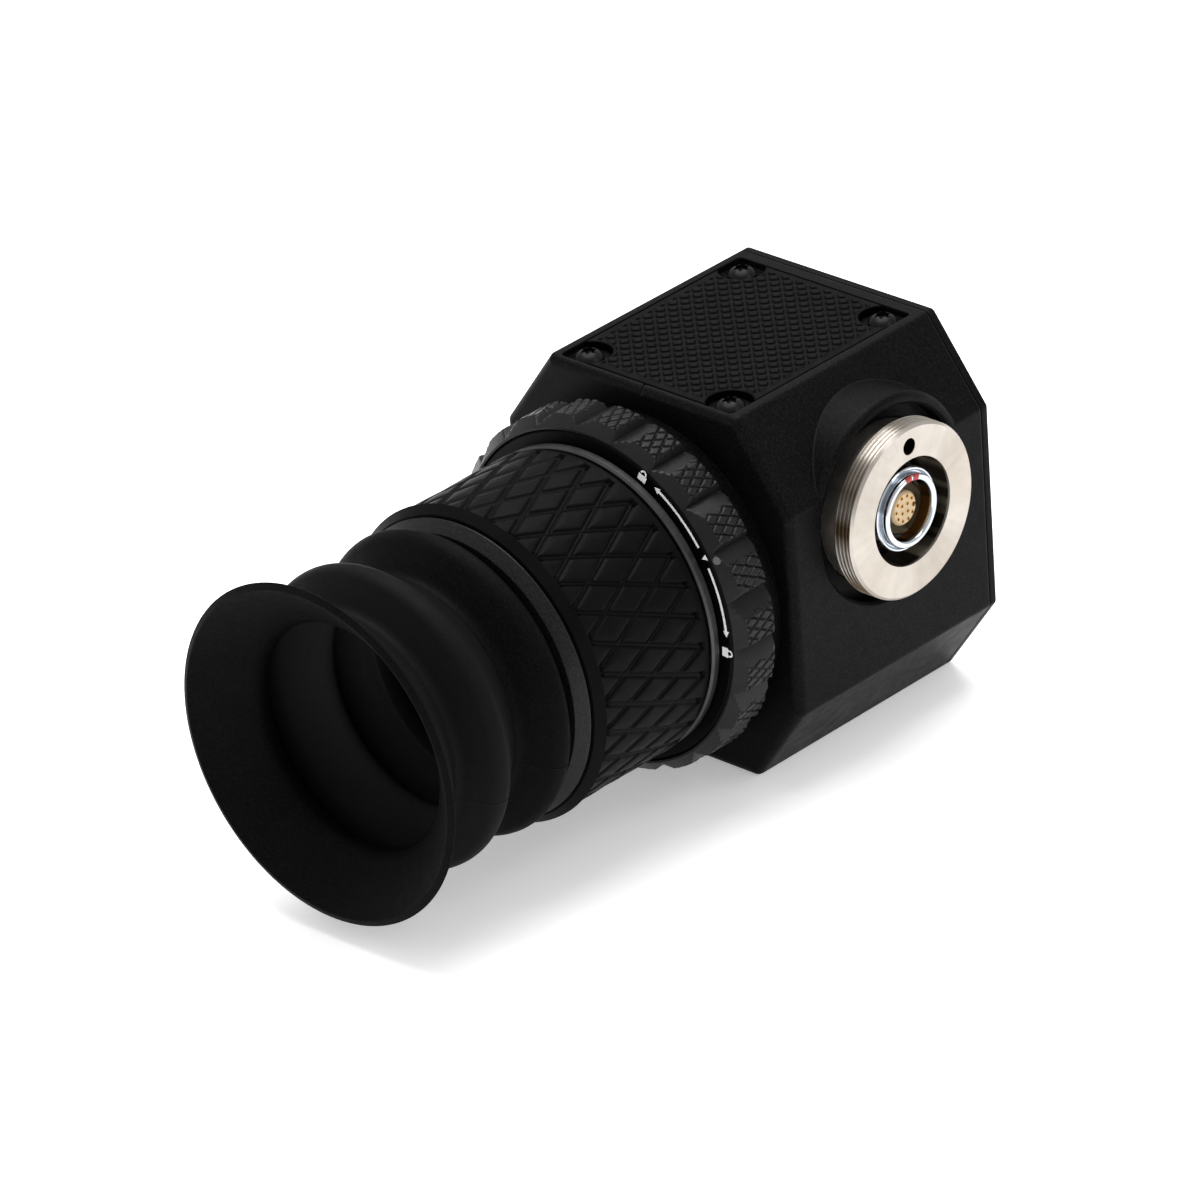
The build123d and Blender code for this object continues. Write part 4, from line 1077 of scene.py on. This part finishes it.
def buildEyeCup():
    c = eyeCup
    inner = [(radius - c["wall"], place, cut) for radius, place, cut in c["folds"][::-1]]
    line = roundedLine(c["foot"] + c["folds"] + c["flare"] + c["mouth"] + inner + c["neck"])
    even = np.linspace(0, 360, c["columns"], endpoint=False)
    seams = [c["partingDegrees"], c["partingDegrees"] + 180]
    extra = [seam + offset * c["partingHalf"] for seam in seams for offset in c["partingSteps"]]
    angles = np.unique(np.concatenate([even, np.array(extra) % 360]))
    ridge = np.zeros_like(angles)
    for seam in seams:
        fall = smoothStep(np.abs(wrapped(angles, seam)), 0.0, c["partingHalf"])
        ridge = ridge + c["partingHeight"] * (1 - fall)
    # The seam stands out on the outer folds and on the first two corners of the flare
    steps = c["cornerSteps"] + 1
    firstFold = len(c["foot"]) * steps
    lastFold = firstFold + (len(c["folds"]) + 2) * steps
    outside = np.zeros((len(line), 1))
    outside[firstFold:lastFold] = 1
    radii = np.array([[point.x] for point in line]) + outside * ridge
    heights = np.array([point.y for point in line])
    # Painted light: the inside gets paler towards the neck, and the fold next to the flare is paler than the
    # other
    innerStart = lastFold + len(c["flare"]) * steps
    paintedLit = np.zeros(len(line))
    paintedLit[innerStart:] = np.clip((c["paintedLitStart"] - heights[innerStart:]) / c["paintedLitLength"], 0, 1)
    paintedLit[firstFold:lastFold] = c["outerPaintedLit"] * (heights[firstFold:lastFold] > c["foldMiddle"])
    places, paintedLightShades = (np.broadcast_to(column[:, None], radii.shape) for column in (heights, paintedLit))
    cup = ringObject("eyeCup", radii, places, angles, "cup_rubber", c["sharpDegrees"], paintedLightShades)
    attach(cup, "viewfinder_body")
    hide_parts("eyecup")


buildEyeCup()
print("eyecup built")


# Socket shell: a thin back ring, and a rounded sleeve that stands out of it
socketShell = {
    "standOut": 0.17,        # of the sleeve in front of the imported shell, mm; depths are below its front
    "backRingDepth": 1.05, "backRingInner": 5.85, "backRingChamfer": 0.15,
    "ringLean": (0.2, 0.1),
    "grooveDepth": 1.45, "grooveRadius": 5.55,
    "sleeveRadius": 5.45,
    "sleeveRound": 0.35,
    "innerRound": 0.45,
    "roundSteps": 7,
    "bore": 4.45,
    "stepDepth": 2.3, "stepRadius": 4.75, "stepLean": 0.3,
    "footWidth": 1.2, "footRise": 1.0, "footFloor": 7.0,
    "stemRadius": 5.2, "stemBore": 4.2,
    "columns": 180,
    "sharpDegrees": 35,
}


def buildSocketShell():
    s = socketShell
    low, high = inMm(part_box("socket_shell"))
    middle = (low + high)[1:] / 2
    foot = (high[1] - low[1]) / 2
    outer = foot - s["footWidth"]
    front = high[0] + s["standOut"]
    stem = front - low[0]
    turns = np.linspace(0, math.pi / 2, s["roundSteps"])
    edge = s["sleeveRadius"] - s["sleeveRound"]
    rows = [(s["sleeveRound"] * (1 - math.sin(turn)), edge + s["sleeveRound"] * math.cos(turn))
            for turn in turns]
    rows += [(s["innerRound"] * (1 - math.cos(turn)), s["bore"] + s["innerRound"] * (1 - math.sin(turn)))
             for turn in turns]
    rows += [(s["stepDepth"], s["bore"]), (s["stepDepth"] + s["stepLean"], s["stepRadius"]),
             (s["footFloor"], s["stepRadius"]), (s["footFloor"], s["stemBore"]),
             (stem, s["stemBore"]), (stem, s["stemRadius"]), (s["footFloor"], s["stemRadius"]),
             (s["footFloor"], foot), (s["footFloor"] - s["footRise"], foot),
             (s["footFloor"] - s["footRise"], outer), (s["backRingDepth"] + s["backRingChamfer"], outer),
             (s["backRingDepth"], outer - s["backRingChamfer"]), (s["backRingDepth"], s["backRingInner"]),
             (s["backRingDepth"] + s["ringLean"][0], s["backRingInner"] - s["ringLean"][1]),
             (s["grooveDepth"], s["grooveRadius"]), (s["grooveDepth"], s["sleeveRadius"])]
    angles = np.linspace(0, 2 * math.pi, s["columns"], endpoint=False)
    points = sideLine(front, middle, rows, angles)
    shell = meshObject("socketShell", points, closedGrid(len(rows), s["columns"]), "socket_chrome",
                       s["sharpDegrees"])
    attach(shell, "viewfinder_body")
    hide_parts("socket_shell")


buildSocketShell()


# A gold mouth round each contact, on the insert's face
contactMouths = {
    "outerRadius": 0.37, "outerRound": 0.04,
    "innerRadius": 0.20, "innerRound": 0.03,
    "lift": 0.05, "roundLift": 0.03,
    "sink": 0.05,
    "cupDepth": 0.30, "cupRadius": 0.18, "cupFloor": 0.01,
    "footInset": 0.08,
    "columns": 20,
    "sharpDegrees": 35,
}


def contactMiddles():
    # The contacts are one node: its separate solids stand where the mouths go
    mesh = nodes["socket_contacts"].data
    groups = list(range(len(mesh.vertices)))

    def leader(item):
        while groups[item] != item:
            item = groups[item]
        return item

    for edge in mesh.edges:
        a, b = (leader(vertex) for vertex in edge.vertices)
        groups[a] = b
    gathered = {}
    for vertex in mesh.vertices:
        gathered.setdefault(leader(vertex.index), []).append(vertex.co)
    centres = {}
    for points in gathered.values():
        y = sum(point.y for point in points) / len(points) / mm
        z = sum(point.z for point in points) / len(points) / mm
        centres[(round(y, 1), round(z, 1))] = (y, z)
    return list(centres.values())


def buildContactMouths():
    c = contactMouths
    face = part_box("socket_insert")[1][0] / mm
    rows = [(c["sink"], c["outerRadius"]), (-c["roundLift"], c["outerRadius"]),
            (-c["lift"], c["outerRadius"] - c["outerRound"]),
            (-c["lift"], c["innerRadius"] + c["innerRound"]), (0.0, c["innerRadius"]),
            (c["cupDepth"], c["cupRadius"]), (c["cupDepth"], c["cupFloor"]),
            (c["cupDepth"] + c["sink"], c["cupFloor"]),
            (c["cupDepth"] + c["sink"], c["outerRadius"] - c["footInset"])]
    points = []
    faces = []
    angles = np.linspace(0, 2 * math.pi, c["columns"], endpoint=False)
    for middle in contactMiddles():
        first = len(points)
        points += sideLine(face, middle, rows, angles)
        faces += [tuple(first + corner for corner in quad) for quad in closedGrid(len(rows), c["columns"])]
    mouths = meshObject("contactMouths", points, faces, "contact_gold", c["sharpDegrees"])
    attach(mouths, "viewfinder_body")


buildContactMouths()
print("socket built")


# Red key marks over the sleeve's rounded front edge
keyMarks = {
    "middleDegrees": (77.0, 94.0),
    "halfDegrees": 6.6,
    "outerStart": 0.35, "innerStop": 1.50,   # turn round the outer and the inner rounding, radians
    "lift": 0.03, "sink": 0.05,   # mm
    "steps": 6,
    "sharpDegrees": 30,
}


def sleeveEdge(lift):
    # The sleeve's front edge, rounded outside and inside, lifted off its surface: (depth, radius) in mm
    k = keyMarks
    s = socketShell
    outer = s["sleeveRound"] + lift
    inner = s["innerRound"] + lift
    edge = s["sleeveRadius"] - s["sleeveRound"]
    line = [(s["sleeveRound"] - outer * math.sin(turn), edge + outer * math.cos(turn))
            for turn in np.linspace(k["outerStart"], math.pi / 2, k["steps"])]
    mouth = s["bore"] + s["innerRound"]
    line += [(s["innerRound"] - inner * math.cos(turn), mouth - inner * math.sin(turn))
             for turn in np.linspace(0, k["innerStop"], k["steps"])]
    return line


def buildKeyMarks():
    k = keyMarks
    low, high = inMm(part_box("socket_shell"))
    front = high[0] + socketShell["standOut"]
    centre = (low + high)[1:] / 2
    loop = sleeveEdge(k["lift"]) + sleeveEdge(-k["sink"])[::-1]
    count = len(loop)
    points = []
    faces = []
    for middle in k["middleDegrees"]:
        first = len(points)
        angles = np.radians(np.linspace(middle - k["halfDegrees"], middle + k["halfDegrees"], k["steps"]))
        for angle in angles:
            points += sideLine(front, centre, loop, [angle])
        last = len(points) - count
        for start in range(first, last, count):
            for step in range(count):
                after = (step + 1) % count
                faces.append((start + step, start + after, start + count + after, start + count + step))
        faces.append(tuple(range(first, first + count)))
        faces.append(tuple(range(last + count - 1, last - 1, -1)))
    marks = meshObject("keyMarks", points, faces, "mark_red", k["sharpDegrees"])
    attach(marks, "viewfinder_body")


buildKeyMarks()
print("key marks built")


# Floor, light and camera

studio = {
    "floorSize": 8.0,
    "floorDrop": 0.02,       # below the object, mm
    "floorColour": (0.92, 0.92, 0.92),
    "floorRough": 0.9, "floorSpec": 0.1,
    "floorGlow": 0.34,       # the paper is lit from below as well
    "fibreSize": 30.0, "fibreShade": 0.995,
    "worldStrength": 0.72,
    "middle": (0, -0.035, 0.03),
    "lights": {
        # Where each softbox is, in metres from the object's middle, its size and its power
        "topLight": {"place": (-0.25, 0.25, 1.20), "size": 1.30, "power": 21.5},
        "rightLight": {"place": (0.75, 0.35, 0.90), "size": 0.40, "power": 1.2},
        "leftLight": {"place": (-0.80, -0.86, 0.22), "size": 0.30, "power": 0.9},
    },
}


def buildFloor():
    s = studio
    half = s["floorSize"] / 2
    mesh = bpy.data.meshes.new("floor")
    corners = [(-half, -half, 0), (half, -half, 0), (half, half, 0), (-half, half, 0)]
    mesh.from_pydata(corners, [], [(0, 1, 2, 3)])
    material = bpy.data.materials.new("floorPaper")
    material.use_nodes = True
    tree = material.node_tree
    shader = tree.nodes["Principled BSDF"]
    place = addNode(tree, "ShaderNodeTexCoord").outputs["Object"]
    fibres = noiseOf(tree, place, s["fibreSize"])
    pale = s["floorColour"]
    paper = colourBetween(tree, fibres, shades(pale, s["fibreShade"]), pale)
    tree.links.new(paper, shader.inputs["Base Color"])
    shader.inputs["Roughness"].default_value = s["floorRough"]
    shader.inputs["Specular IOR Level"].default_value = s["floorSpec"]
    shader.inputs["Emission Color"].default_value = (1, 1, 1, 1)
    shader.inputs["Emission Strength"].default_value = s["floorGlow"]
    mesh.materials.append(material)
    floor = addObject("floor", mesh)
    floor.location.z = -s["floorDrop"] * mm


def buildLights():
    middle = Vector(studio["middle"])
    for name, settings in studio["lights"].items():
        data = bpy.data.lights.new(name, "AREA")
        data.shape = "DISK"
        data.size = settings["size"]
        data.energy = settings["power"]
        lamp = addObject(name, data)
        lamp.location = middle + Vector(settings["place"])
        lamp.rotation_mode = "QUATERNION"
        lamp.rotation_quaternion = (middle - lamp.location).to_track_quat("-Z", "Y")
        lamp.visible_camera = False
    world = bpy.data.worlds.new("studioWorld")
    world.use_nodes = True
    back = world.node_tree.nodes["Background"]
    back.inputs["Color"].default_value = (1, 1, 1, 1)
    back.inputs["Strength"].default_value = studio["worldStrength"]
    bpy.context.scene.world = world


# The camera stands where the photograph's did: angles round the object and above it, roll, and distance
cameraView = {
    "azimuth": 44.087,
    "elevation": 27.767,
    "roll": -3.964,
    "distance": 1306.6036,   # mm
    "aside": 7.20937,
    "lift": 4.82001,
    "lens": 279.98,
    "sensor": 36.0,
    "clip": (0.05, 20),      # metres
}


def buildCamera():
    v = cameraView
    azimuth, elevation, roll = (math.radians(v[key]) for key in ("azimuth", "elevation", "roll"))
    back = Vector((math.sin(azimuth) * math.cos(elevation), -math.cos(azimuth) * math.cos(elevation),
                   math.sin(elevation)))
    flatRight = Vector((math.cos(azimuth), math.sin(azimuth), 0))
    flatUp = back.cross(flatRight)
    right = flatRight * math.cos(roll) + flatUp * math.sin(roll)
    up = flatUp * math.cos(roll) - flatRight * math.sin(roll)
    eye = back * v["distance"] - right * v["aside"] - up * v["lift"] + Vector((0, boxFront, axisHeight))
    data = bpy.data.cameras.new("camera")
    data.lens = v["lens"]
    data.sensor_width = v["sensor"]
    data.clip_start, data.clip_end = v["clip"]
    camera = addObject("camera", data)
    turn = Matrix((right, up, back)).transposed().to_4x4()
    camera.matrix_world = Matrix.Translation(eye * mm) @ turn
    bpy.context.scene.camera = camera


buildFloor()
buildLights()
buildCamera()
bpy.context.scene.view_settings.view_transform = "Standard"
print("studio built")

bpy.context.view_layer.update()
